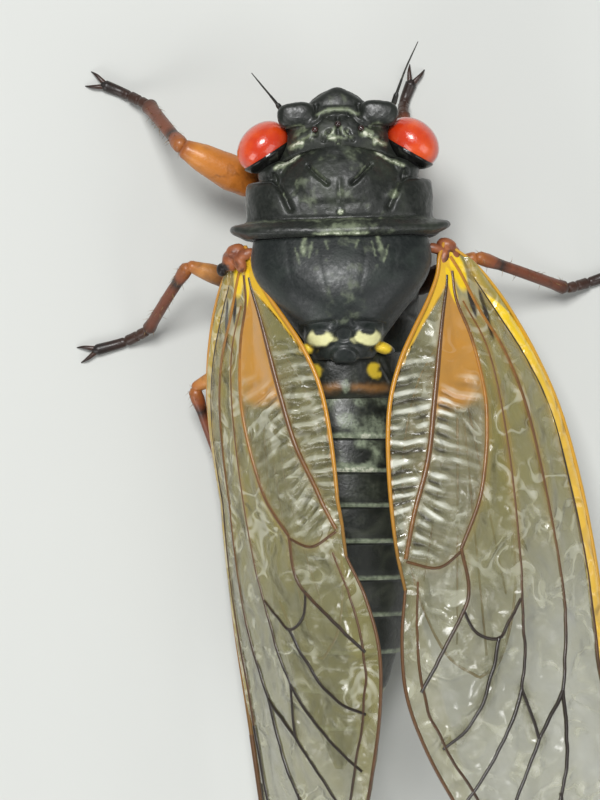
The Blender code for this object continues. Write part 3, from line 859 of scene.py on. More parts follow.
def baked(made: bpy.types.Object, group: bpy.types.NodeTree, values: dict[str, Any]) -> bpy.types.Object:
    """Run a Geometry Nodes tree on an object and keep the result as its plain mesh.

    Args:
        made: The object.
        group: The tree.
        values: The inputs' values by name.

    Returns:
        The object, riding on the root body.
    """
    step = made.modifiers.new("nodes", "NODES")
    step.node_group = group
    for socket in group.interface.items_tree:
        if socket.item_type == "SOCKET" and socket.in_out == "INPUT" and socket.name in values:
            step[socket.identifier] = values[socket.name]
    made.update_tag()
    seen = made.evaluated_get(bpy.context.evaluated_depsgraph_get())
    mesh = bpy.data.meshes.new_from_object(seen)
    made.modifiers.clear()
    made.data = mesh
    mesh.shade_smooth()
    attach(made, "root")
    LOG.info("%s: %d faces", made.name, len(mesh.polygons))
    return made


@dataclass
class Bristles:
    """Geometry Nodes tree that sets short tapered bristles all over a surface.

    Lengths are in millimetres, and the density is bristles to a square millimetre.
    """

    length: float = 0.30
    radius: float = 0.014
    density: float = 6.0
    seed: int = 5
    lean: float = 0.5
    backward: float = 0.8
    shortest: float = 0.5
    longest: float = 1.2

    def group(self, look: bpy.types.Material) -> bpy.types.NodeTree:
        """Build the tree.

        Args:
            look: The material that the bristles get.

        Returns:
            The node group, with inputs "Length", "Radius", "Density" and "Seed".
        """
        group = bpy.data.node_groups.new("bristles", "GeometryNodeTree")
        group.interface.new_socket("Geometry", in_out="INPUT", socket_type="NodeSocketGeometry")
        for name, kind in (("Length", "NodeSocketFloat"), ("Radius", "NodeSocketFloat"),
                           ("Density", "NodeSocketFloat"), ("Seed", "NodeSocketInt")):
            group.interface.new_socket(name, in_out="INPUT", socket_type=kind)
        group.interface.new_socket("Geometry", in_out="OUTPUT", socket_type="NodeSocketGeometry")
        add, link = group.nodes.new, group.links.new
        start, end = add("NodeGroupInput"), add("NodeGroupOutput")
        scatter = add("GeometryNodeDistributePointsOnFaces")
        cone = add("GeometryNodeMeshCone")
        cone.inputs["Vertices"].default_value = 3
        cone.inputs["Radius Top"].default_value = 0.0
        lay = add("FunctionNodeRandomValue")
        lay.data_type = "FLOAT_VECTOR"
        lay.inputs["Min"].default_value = (-self.lean, -self.lean, -self.lean)
        lay.inputs["Max"].default_value = (self.lean, self.lean, self.lean)
        total = add("ShaderNodeVectorMath")
        back = add("ShaderNodeVectorMath")
        back.inputs[1].default_value = (0.0, self.backward, 0.0)
        aim = add("FunctionNodeAlignEulerToVector")
        aim.axis = "Z"
        size = add("FunctionNodeRandomValue")
        size.inputs["Min"].default_value = self.shortest
        size.inputs["Max"].default_value = self.longest
        put = add("GeometryNodeInstanceOnPoints")
        realize, paint = add("GeometryNodeRealizeInstances"), add("GeometryNodeSetMaterial")
        paint.inputs["Material"].default_value = look
        link(start.outputs["Geometry"], scatter.inputs["Mesh"])
        link(start.outputs["Density"], scatter.inputs["Density"])
        link(start.outputs["Seed"], scatter.inputs["Seed"])
        link(start.outputs["Seed"], lay.inputs["Seed"])
        link(start.outputs["Length"], cone.inputs["Depth"])
        link(start.outputs["Radius"], cone.inputs["Radius Bottom"])
        link(scatter.outputs["Normal"], total.inputs[0])
        link(lay.outputs["Value"], total.inputs[1])
        link(total.outputs[0], back.inputs[0])
        link(back.outputs[0], aim.inputs["Vector"])
        link(scatter.outputs["Points"], put.inputs["Points"])
        link(cone.outputs["Mesh"], put.inputs["Instance"])
        link(aim.outputs["Rotation"], put.inputs["Rotation"])
        link([o for o in size.outputs if o.enabled][0], put.inputs["Scale"])
        link(put.outputs["Instances"], realize.inputs["Geometry"])
        link(realize.outputs["Geometry"], paint.inputs["Geometry"])
        link(paint.outputs["Geometry"], end.inputs["Geometry"])
        return group

    def grow(self, name: str, shell: Shell, look: bpy.types.Material) -> bpy.types.Object:
        """Grow bristles on a shell.

        Args:
            name: The piece's name.
            shell: The surface they grow on.
            look: The material.

        Returns:
            The finished piece.
        """
        mesh = shell.mesh(name)
        mesh.vertices.foreach_set("co", placed(shell.points).astype(np.float32).ravel())
        made = bpy.data.objects.new(name, mesh)
        bpy.context.scene.collection.objects.link(made)
        return baked(made, self.group(look), {"Length": self.length * MM, "Radius": self.radius * MM,
                                              "Density": self.density / MM ** 2, "Seed": self.seed})


# Sub-assemblies

def mirror(point: Sequence[float], side: Side) -> Array:
    """Return a point of the left side, or its mirror on the right."""
    return np.array(point, float) * (side.value, 1, 1)


def pushed(points: Array, centre: Array, radii: Sequence[float], turn: float) -> Array:
    """Press points out of an eye's place.

    Args:
        points: The points to press.
        centre: The middle of the place.
        radii: Its half sizes.
        turn: Its turn about Z.

    Returns:
        The points, with those inside moved to its surface.
    """
    c, s = math.cos(turn), math.sin(turn)
    spin = np.array([[c, -s, 0], [s, c, 0], [0, 0, 1.0]])
    local = (points - centre) @ spin / np.array(radii)
    size = np.maximum(np.linalg.norm(local, axis=1), 1e-6)
    local *= np.where(size < 1, 1 / size, 1.0)[:, None]
    return local * np.array(radii) @ spin.T + centre


def both(line: Sequence[Sequence[float]]) -> tuple[Array, Array]:
    """Return a line seen from above and its mirror, each as a smooth curve."""
    one = spline(line, 6)
    return one, one * (-1, 1)


def warped(points: Array, amount: float, size: float, seed: int) -> Array:
    """Move points sideways by noise, so that marks read at them look natural.

    Args:
        points: The points.
        amount: How far they move at most.
        size: Size of the noise's lumps.
        seed: Which pattern it is.

    Returns:
        The moved points.
    """
    east, north = rough(points, size, seed), rough(points, size, seed + 1)
    shift = np.stack([east, north, np.zeros(len(points))], axis=1)
    return points + amount * shift


def near_lines(points: Array, lines: Iterable[Sequence[Sequence[float]]], width: float) -> Array:
    """Measure nearness to lines seen from above.

    Args:
        points: Where to measure.
        lines: The lines of one side; their mirrors count too.
        width: How wide they are.

    Returns:
        1 on the lines and less beside them.
    """
    best = np.full(len(points), 1e9)
    for line in lines:
        for one in both(line):
            best = np.minimum(best, reach(points[:, :2], one))
    return hill(best, width)


def spot(points: Array, centre: Sequence[float], size: Sequence[float], mirrored: bool = True) -> Array:
    """Mark a patch seen from above.

    Args:
        points: Where to read it.
        centre: Its middle.
        size: Its half sizes.
        mirrored: Whether its mirror counts too.

    Returns:
        1 in the patch and 0 outside.
    """
    x = np.abs(points[:, 0]) if mirrored else points[:, 0]
    d = np.hypot((x - centre[0]) / size[0], (points[:, 1] - centre[1]) / size[1])
    return 1 - ease(d, 0.75, 1.15)


@dataclass
class Eye:
    """One compound eye, with the black rim that covers its hind edge."""

    side: Side
    centre: tuple[float, float, float] = (3.12, -3.84, 6.45)
    radii: tuple[float, float, float] = (1.20, 0.92, 1.15)
    turn: float = math.radians(43)
    rim: float = 0.07
    rim_line: float = 0.42
    rim_turn: float = math.radians(121)

    def build(self, look: bpy.types.Material, dark: bpy.types.Material) -> None:
        """Make the eye and its rim.

        Args:
            look: The eye's material.
            dark: The rim's material.
        """
        centre = mirror(self.centre, self.side)
        turn = self.side.value * self.turn
        eye = ball(centre, self.radii, turn, 96)
        piece("compound_eye_" + self.side.word, eye, look, ["eye_" + self.side.word])
        rim = ball(centre, [r + self.rim for r in self.radii], turn, 128)
        normal = np.array([math.cos(self.rim_turn) * self.side.value, math.sin(self.rim_turn), 0.0])
        lift = 0.10 * (rim.points[:, 2] - centre[2])
        over = ease((rim.points - centre) @ normal - lift, self.rim_line - 0.06, self.rim_line)
        rim.points = centre + (rim.points - centre) * (0.90 + 0.10 * over)[:, None]
        piece("eye_rim_" + self.side.word, rim, dark)

    def socket(self, points: Array) -> Array:
        """Return points pressed clear of this eye."""
        return pushed(points, mirror(self.centre, self.side), [r + 0.03 for r in self.radii],
                      self.side.value * self.turn)


@dataclass
class Head:
    """The broad head: capsule, ribbed swollen face, brow lobes, ocelli and beak."""

    rings: tuple[tuple[float, ...], ...] = (
        (-5.65, 1.10, 3.3, 5.6, 6.9), (-5.40, 1.70, 2.8, 5.8, 7.35), (-4.90, 2.20, 2.5, 6.0, 7.70),
        (-4.35, 2.20, 2.5, 6.1, 7.92), (-3.95, 2.45, 2.7, 6.1, 7.92), (-3.60, 2.70, 2.9, 6.1, 7.85))
    face_centre: tuple[float, float, float] = (0.0, -5.02, 5.05)
    face_radii: tuple[float, float, float] = (1.50, 1.17, 2.45)
    face_taper: float = 0.30
    lobe_centre: tuple[float, float, float] = (1.70, -5.02, 7.26)
    lobe_radii: tuple[float, float, float] = (0.80, 0.54, 0.38)
    roof_centre: tuple[float, float, float] = (0.0, -5.42, 6.92)
    roof_radii: tuple[float, float, float] = (1.32, 0.76, 0.46)
    temple_centre: tuple[float, float, float] = (1.25, -4.75, 4.6)
    temple_radii: tuple[float, float, float] = (0.95, 0.75, 1.5)
    ocelli: tuple[tuple[float, float, float], ...] = (
        (0.0, -4.58, 7.90), (0.95, -4.38, 7.84), (-0.95, -4.38, 7.84))
    ocellus: float = 0.13
    rib_length: float = 0.40
    beak: tuple[tuple[float, float, float], ...] = (
        (0.0, -4.95, 2.85), (0.0, -4.70, 2.10), (0.0, -4.0, 1.58), (0.0, -2.2, 1.30), (0.0, 0.2, 1.05))

    def relief(self, p: Array) -> Array:
        """Work out the face's ribs, the vertex's furrows and its folds.

        Args:
            p: The points.

        Returns:
            The height at each, in millimetres.
        """
        x, y, z = np.abs(p[:, 0]), p[:, 1], p[:, 2]
        on_face = (1 - ease(x, 0.9, 1.35)) * (1 - ease(y, -5.75, -5.45))
        on_face = on_face * ease(z, 2.9, 3.5) * (1 - ease(z, 6.5, 7.0))
        middle = 1 - 0.9 * hill(x, 0.16)
        ribs = 0.07 * on_face * middle * np.cos(2 * math.pi * (z - 0.25 * x) / self.rib_length)
        up = ease(z, 7.0, 7.4)
        furrows = near_lines(p, [((0.0, -4.95), (0.0, -3.7)), ((0.45, -5.05), (1.05, -4.55), (2.0, -4.42)),
                                 ((1.3, -4.1), (1.75, -3.95), (2.2, -4.1)), ((0.35, -4.3), (0.62, -3.9)),
                                 ((0.9, -4.95), (0.85, -5.4)), ((0.95, -4.62), (0.95, -4.15))], 0.08)
        brow = near_lines(p, [((0.0, -5.20), (0.45, -5.18), (0.82, -5.0))], 0.09)
        hollow = spot(p, (0.0, -4.92), (0.60, 0.2))
        blister = spot(p, (1.45, -4.05), (0.35, 0.25)) + spot(p, (0.45, -4.05), (0.25, 0.16))
        folds = 0.022 * rough(p, 0.5, 5) + 0.010 * rough(p, 0.16, 9)
        return ribs + up * (0.06 * brow - 0.11 * furrows - 0.14 * hollow + 0.05 * blister) + folds

    def build(self, eyes: Sequence[Eye], shell: bpy.types.Material, bead: bpy.types.Material,
              beak: bpy.types.Material) -> None:
        """Make the head's pieces.

        Args:
            eyes: The eyes, whose places stay free.
            shell: The capsule's material.
            bead: The ocelli's material.
            beak: The beak's material.
        """
        capsule = trunk(self.rings, 8, 72)
        x, y = capsule.points[:, 0], capsule.points[:, 1]
        capsule.points[:, 1] = y + 0.62 * (np.abs(x) / 3.05) ** 2.2 * np.maximum(0, (y + 5.0) / 1.1)
        face = ball(self.face_centre, self.face_radii, fine=72)
        ahead = np.clip((self.face_centre[1] - face.points[:, 1]) / self.face_radii[1], 0, 1)
        face.points[:, 0] *= 1 - self.face_taper * ahead ** 2
        roof = ball(self.roof_centre, self.roof_radii, fine=40)
        roof.points[:, 0] *= 1 - 0.55 * ease(-roof.points[:, 1], 5.3, 6.2)
        parts = [capsule, face, roof]
        for side in Side:
            parts.append(ball(mirror(self.lobe_centre, side), self.lobe_radii, side.value * 0.10, 48, 0.7))
            parts.append(ball(mirror(self.temple_centre, side), self.temple_radii, 0, 40))
        skin = fused(parts, 0.055, 5)
        skin.points = eyes[1].socket(eyes[0].socket(skin.points))
        skin.raised(self.relief)
        p = warped(skin.points, 0.09, 0.35, 23)
        up = ease(p[:, 2], 7.0, 7.5)
        pale = 0.62 * near_lines(p, [((0.0, -5.20), (0.45, -5.18), (0.82, -5.0))], 0.09)
        pale += 0.6 * near_lines(p, [((1.05, -4.2), (1.45, -3.98), (1.55, -3.7)),
                                     ((0.12, -4.4), (0.38, -4.1)), ((0.0, -4.05), (0.3, -3.98))], 0.07)
        pale += 1.0 * near_lines(p, [((1.62, -3.86), (1.95, -3.72), (2.15, -3.80))], 0.10)
        pale += 0.50 * spot(p, (1.55, -4.22), (0.75, 0.42)) * ease(rough(p, 0.32, 21), -0.15, 0.25)
        pale += 0.42 * spot(p, (0.0, -4.15), (0.7, 0.35)) * ease(rough(p, 0.25, 25), -0.1, 0.3)
        pale += 0.30 * spot(p, (0.0, -5.62), (0.42, 0.34)) * ease(rough(p, 0.4, 27), -0.5, 0.3)
        skin.marks["pale"] = np.clip(pale * up, 0, 1)
        skin.marks["wet"] = spot(p, self.lobe_centre[:2], self.lobe_radii[:2])
        piece("head_shell", skin, shell, ["head"])
        piece("ocelli", joined(ball(centre, [self.ocellus] * 3) for centre in self.ocelli), bead)
        sheath = tube(self.beak, [(0, 0.28), (0.15, 0.33), (0.7, 0.27), (1, 0.12)], 24, 10)
        piece("beak_sheath", sheath, beak, ["rostrum"])


@dataclass
class Pronotum:
    """The collared front thorax: an arched middle with a raised triangle, and square shoulders."""

    arch: tuple[tuple[float, ...], ...] = (
        (-3.82, 0.75, 3.2, 6.2, 7.68), (-3.66, 1.30, 2.9, 6.2, 7.86), (-3.38, 1.85, 2.7, 6.2, 8.02),
        (-3.05, 2.32, 2.5, 6.2, 8.18), (-2.70, 2.62, 2.5, 6.2, 8.32), (-2.20, 2.85, 2.4, 6.2, 8.46),
        (-1.40, 2.95, 2.4, 6.2, 8.46))
    rings: tuple[tuple[float, ...], ...] = (
        (-2.33, 3.55, 2.5, 6.0, 7.78), (-2.20, 3.82, 2.4, 6.1, 8.05), (-1.60, 3.88, 2.3, 6.2, 8.34),
        (-0.74, 3.88, 2.3, 6.2, 8.36), (-0.60, 3.98, 2.4, 6.5, 8.46), (-0.34, 4.54, 2.5, 6.6, 8.72),
        (-0.12, 4.50, 2.6, 6.6, 8.78), (0.06, 4.02, 2.7, 6.6, 8.62))
    cheek: tuple[float, float, float] = (2.55, -2.70, 6.3)
    cheek_radii: tuple[float, float, float] = (0.80, 0.62, 1.10)
    furrows: tuple[tuple[tuple[float, float], ...], ...] = (
        ((1.30, -2.88), (1.05, -2.60), (0.75, -2.30), (0.50, -2.08)),
        ((2.72, -2.62), (2.48, -2.05), (2.20, -1.45), (2.05, -1.10)),
        ((1.62, -2.85), (2.0, -2.2), (1.75, -1.5)))

    def relief(self, p: Array) -> Array:
        """Work out the pronotum's furrows, swellings and collar.

        Args:
            p: The points.

        Returns:
            The height at each, in millimetres.
        """
        x, y, z = np.abs(p[:, 0]), p[:, 1], p[:, 2]
        up = ease(z, 6.6, 7.4)
        q = warped(p, 0.06, 0.5, 35)
        cut = near_lines(q, self.furrows[:1], 0.08) + 0.8 * near_lines(q, self.furrows[1:2], 0.13)
        soft = 0.5 * near_lines(q, self.furrows[2:], 0.25)
        lip = hill(y, 0.08) * (1 - ease(x, 0.9, 1.3))
        keel = hill(x, 0.10) * ease(y, -2.4, -2.1) * (1 - ease(y, -1.3, -1.0))
        edge = near_lines(p, [((0.0, -3.80), (0.9, -3.70), (1.5, -3.45), (2.1, -3.12), (2.5, -2.80))], 0.09)
        button = spot(p, (0.0, -0.95), (0.16, 0.13))
        groove = hill(y + 0.72, 0.07)
        folds = 0.045 * rough(p, 0.9, 31) + 0.016 * rough(p, 0.25, 33)
        raised = 0.05 * lip + 0.05 * keel + 0.06 * edge + 0.048 * button
        return up * (raised - 0.24 * cut - 0.10 * soft - 0.05 * groove) + folds

    def build(self, eyes: Sequence[Eye], look: bpy.types.Material) -> None:
        """Make the skin round the eyes' places.

        Args:
            eyes: The eyes, whose places stay free.
            look: Its material.
        """
        parts = [trunk(self.arch, 8, 72, 0.85), trunk(self.rings, 8, 96, 0.8)]
        parts += [ball(mirror(self.cheek, side), self.cheek_radii, fine=36) for side in Side]
        skin = fused(parts, 0.058, 4)
        skin.points = eyes[1].socket(eyes[0].socket(skin.points))
        skin.raised(self.relief)
        skin.points[:, 1] -= 0.14 * ease(np.abs(skin.points[:, 0]), 3.7, 4.5)
        p = warped(skin.points, 0.07, 0.4, 38)
        x, y = np.abs(p[:, 0]), p[:, 1]
        up = ease(p[:, 2], 6.4, 7.0)
        patchy = ease(rough(p, 0.4, 36), -0.5, 0.3)
        pale = 0.55 * near_lines(p, [((0.0, -3.82), (0.9, -3.72), (1.5, -3.47), (2.1, -3.14))], 0.08)
        pale += 0.95 * near_lines(p, [((1.65, -3.32), (2.15, -3.06), (2.62, -2.86))], 0.085)
        # Painted highlight: a white glint on the small button in the middle.
        pale += 1.0 * spot(p, (0.0, -0.95), (0.13, 0.11))
        pale += 0.62 * near_lines(p, [((2.66, -2.55), (2.42, -2.05), (2.18, -1.5))], 0.04) * patchy
        pale += 0.40 * near_lines(p, [((1.10, -2.78), (0.62, -2.32))], 0.05)
        # Painted highlight: a bright line along the collar's raised lip.
        pale += 0.70 * hill(y + 0.02, 0.05) * (1 - ease(x, 1.0, 1.3))
        pale += 0.16 * (1 - ease(np.abs(y + 0.28), 0.2, 0.34)) * (1 - ease(x, 0.9, 1.3))
        pale += 0.34 * hill(y + 0.62, 0.06) * patchy
        pale += 0.30 * ease(rough(p, 0.55, 37), 0.05, 0.5) * (1 - ease(x, 2.3, 2.7))
        skin.marks["pale"] = np.clip(pale * up, 0, 1)
        skin.marks["wet"] = ease(x, 2.6, 3.0) * (1 - ease(y, -0.8, -0.6)) * up
        piece("pronotum", skin, look, ["prothorax"])


@dataclass
class Mesothorax:
    """The domed back with its scutellum, and the side walls under it."""

    walls: tuple[tuple[float, ...], ...] = (
        (0.10, 3.00, 2.2, 4.6, 7.0), (1.00, 3.30, 1.8, 4.6, 6.9), (2.20, 3.30, 1.7, 4.4, 6.6),
        (3.60, 3.15, 1.7, 4.3, 6.4), (5.10, 3.05, 1.7, 4.3, 6.3))
    wart: tuple[float, float, float] = (1.62, 4.68, 7.35)
    wart_radii: tuple[float, float, float] = (0.52, 0.25, 0.52)
    back: tuple[tuple[float, ...], ...] = (
        (0.08, 3.62, 5.2, 7.2, 8.66), (0.95, 3.74, 5.2, 7.2, 9.05), (1.70, 3.56, 5.2, 7.2, 9.25),
        (2.50, 3.05, 5.3, 7.2, 9.28), (3.20, 2.48, 5.4, 7.2, 9.12), (3.85, 1.98, 5.4, 7.2, 8.88),
        (4.35, 1.62, 5.4, 7.2, 8.66), (5.10, 1.22, 5.4, 7.2, 8.30))

    def relief(self, p: Array) -> Array:
        """Work out the back's long lines and the cross-shaped scutellum.

        Args:
            p: The points.

        Returns:
            The height at each, in millimetres.
        """
        x, y, z = np.abs(p[:, 0]), p[:, 1], p[:, 2]
        up = ease(z, 7.6, 8.1)
        lines = near_lines(p, [((0.98, 0.2), (0.92, 1.2), (0.62, 2.6)),
                               ((2.25, 0.3), (2.1, 1.6), (1.55, 3.0))], 0.10)
        arms = spot(p, (0.98, 4.18), (0.62, 0.42))
        rear = spot(p, (0.0, 4.95), (0.55, 0.38))
        moat = near_lines(p, [((1.7, 3.75), (1.75, 4.3), (1.2, 4.72)),
                              ((0.45, 3.62), (1.1, 3.66), (1.7, 3.75))], 0.11)
        pit = spot(p, (0.0, 4.1), (0.38, 0.32)) + moat
        folds = 0.018 * rough(p, 1.2, 41) + 0.005 * rough(p, 0.2, 43)
        low = (1 - up) * 0.12 * near_side(p)
        return up * (0.16 * arms + 0.14 * rear - 0.12 * pit - 0.012 * lines) + folds - low

    def build(self, look: bpy.types.Material) -> None:
        """Make the skin.

        Args:
            look: Its material.
        """
        parts = [trunk(self.walls, 8, 72), trunk(self.back, 8, 96, 0.95)]
        parts += [ball(mirror(self.wart, side), self.wart_radii, side.value * 0.4, 28) for side in Side]
        skin = fused(parts, 0.06, 4)
        skin.raised(self.relief)
        p = skin.points
        up = ease(p[:, 2], 7.4, 7.9)
        q = warped(p, 0.10, 0.4, 45)
        pale = 0.60 * near_lines(q, [((1.50, 0.12), (1.60, 0.62))], 0.10)
        pale += 0.4 * near_lines(q, [((1.22, 0.3), (1.36, 0.9)), ((1.9, 0.5), (1.75, 1.2)),
                                     ((0.7, 0.3), (0.6, 0.6))], 0.05)
        pale += 0.22 * spot(q, (0.0, 0.9), (2.0, 0.9)) * ease(rough(q, 0.35, 47), 0.0, 0.4)
        # Painted sheen: a patchy grey pool of painted highlight on the middle of the dome.
        pale += 0.26 * spot(q, (0.0, 2.7), (0.9, 1.1)) * ease(rough(q, 0.30, 48), -0.2, 0.5)
        cream = spot(q, (1.0, 4.24), (0.55, 0.36)) * (1 - spot(q, (0.98, 3.93), (0.34, 0.20)))
        cream += 0.5 * spot(q, (0.50, 4.33), (0.24, 0.12))
        skin.marks["pale"] = np.clip(pale * up, 0, 1)
        skin.marks["cream"] = np.clip(cream * up, 0, 1)
        skin.marks["gold"] = spot(q, self.wart[:2], (0.36, 0.25)) * ease(p[:, 2], 6.8, 7.2)
        piece("back_and_flanks", skin, look, ["mesothorax"])


def near_side(p: Array) -> Array:
    """Mark the sutures that part the plates of the body's flanks.

    Args:
        p: Where to read it.

    Returns:
        1 on a suture and less beside it.
    """
    z, y = p[:, 2], p[:, 1]
    best = np.minimum(np.abs(y - 2.2 - 0.4 * (z - 4)), np.abs(y - 3.7 + 0.25 * (z - 4)))
    return hill(best, 0.12) * (1 - ease(z, 6.0, 6.6))


@dataclass
class HindBody:
    """The hind thorax and the abdomen of overlapping plates with pale hind margins."""

    waist: tuple[tuple[float, ...], ...] = (
        (4.85, 2.85, 1.8, 4.2, 7.75), (5.15, 2.95, 1.7, 4.2, 7.80), (5.70, 3.00, 1.6, 4.2, 7.80),
        (6.25, 3.00, 1.5, 4.2, 7.75), (6.75, 2.90, 1.5, 4.2, 7.60))
    shape: tuple[tuple[float, ...], ...] = (
        (0.0, 3.00, 1.35, 4.2, 7.70), (2.0, 3.25, 1.05, 4.0, 7.65), (5.0, 3.35, 1.00, 3.8, 7.30),
        (8.0, 3.10, 1.15, 3.7, 6.70), (11.0, 2.45, 1.55, 3.6, 5.85), (13.5, 1.45, 2.15, 3.6, 4.90),
        (15.0, 0.62, 2.75, 3.6, 4.30), (15.9, 0.22, 3.15, 3.5, 3.85))
    start: float = 6.50
    swing: float = math.radians(2.2)
    ends: tuple[float, ...] = (1.85, 3.25, 4.70, 6.20, 7.75, 9.30, 10.90, 12.60, 14.20, 15.90)
    step: float = 0.15
    swell: float = 0.03
    gap: float = 0.015
    margin: float = 0.80
    last_margin: float = 0.3
    blooms: tuple[float, ...] = (0.42, 0.72, 0.10)
    rows: int = 14
    sides: int = 128

    def build(self, look: bpy.types.Material) -> None:
        """Make both pieces in a material."""
        self.hind_thorax(look)
        self.abdomen(look)

    def hind_thorax(self, look: bpy.types.Material) -> None:
        """Make the hind thorax.

        Args:
            look: Its material.
        """
        waist = fused([trunk(self.waist, 8, 96, 1.0)], 0.07, 3)
        waist.raised(lambda p: 0.03 * rough(p, 0.8, 51)
                     - 0.10 * near_lines(p, [((1.5, 5.2), (1.9, 6.0))], 0.12)
                     + 0.06 * hill(p[:, 1] - 6.35, 0.2) * ease(p[:, 2], 7, 7.5))
        p = waist.points
        q = warped(p, 0.10, 0.35, 53)
        up = ease(p[:, 2], 6.8, 7.2)
        gold = 0.75 * spot(q, (1.27, 5.60), (0.34, 0.34)) * ease(rough(p, 0.4, 54), -0.6, 0.0)
        band = near_lines(q, [((0.35, 6.25), (1.0, 6.32), (2.4, 6.3))], 0.17)
        waist.marks["gold"] = np.clip(gold * up, 0, 1)
        waist.marks["tan"] = band * up
        waist.marks["pale"] = 0.4 * spot(q, (0.0, 6.2), (0.2, 0.3)) * up
        piece("hind_thorax", waist, look, ["metathorax"])

    def abdomen(self, look: bpy.types.Material) -> None:
        """Make the abdomen, each plate stepping in under the one before.

        Args:
            look: Its material.
        """
        table = np.array(self.shape)
        rings, margin, bloom, first = [], [], [], 0.0
        for number, end in enumerate(self.ends):
            for t in np.linspace(0, 1, self.rows):
                at = first + (end - first) * t
                half, low, level, top = (float(np.interp(at, table[:, 0], column)) for column in table.T[1:])
                step = self.step * (1 - min(t * 1.4, 1)) ** 0.7 - self.swell * math.sin(math.pi * t)
                shrink = step * min(1, half / 1.5)
                rings.append(section(at, half - shrink, low + shrink, level, top - shrink, self.sides, 1.0))
                white = self.margin if number < len(self.ends) - 1 else self.last_margin
                margin += [float(ease(np.array(t), 0.88, 0.94)) * white] * self.sides
                bloom += [self.blooms[min(number, len(self.blooms) - 1)]] * self.sides
            first = end + self.gap
        belly = lofted(np.array(rings))
        c, s = math.cos(self.swing), math.sin(self.swing)
        belly.points = belly.points @ np.array([[c, -s, 0], [s, c, 0], [0, 0, 1.0]]) + (0, self.start, 0)
        belly.raised(lambda p: 0.012 * rough(p, 0.5, 57))
        p = belly.points
        edge, bloomed = np.array(margin + [0, 0]), np.array(bloom + [0, 0])
        pale = edge * (0.55 + 0.4 * ease(rough(p, 0.35, 56), -0.4, 0.3))
        pale += bloomed * ease(rough(p, 0.7, 55), -0.35, 0.25) * ease(p[:, 2], 6.6, 7.2)
        belly.marks["pale"] = np.clip(pale, 0, 1)
        belly.marks["cream"] = 0.5 * hill(p[:, 2] - 3.6, 0.5) * edge
        piece("abdomen_rings", belly, look, ["abdomen"])


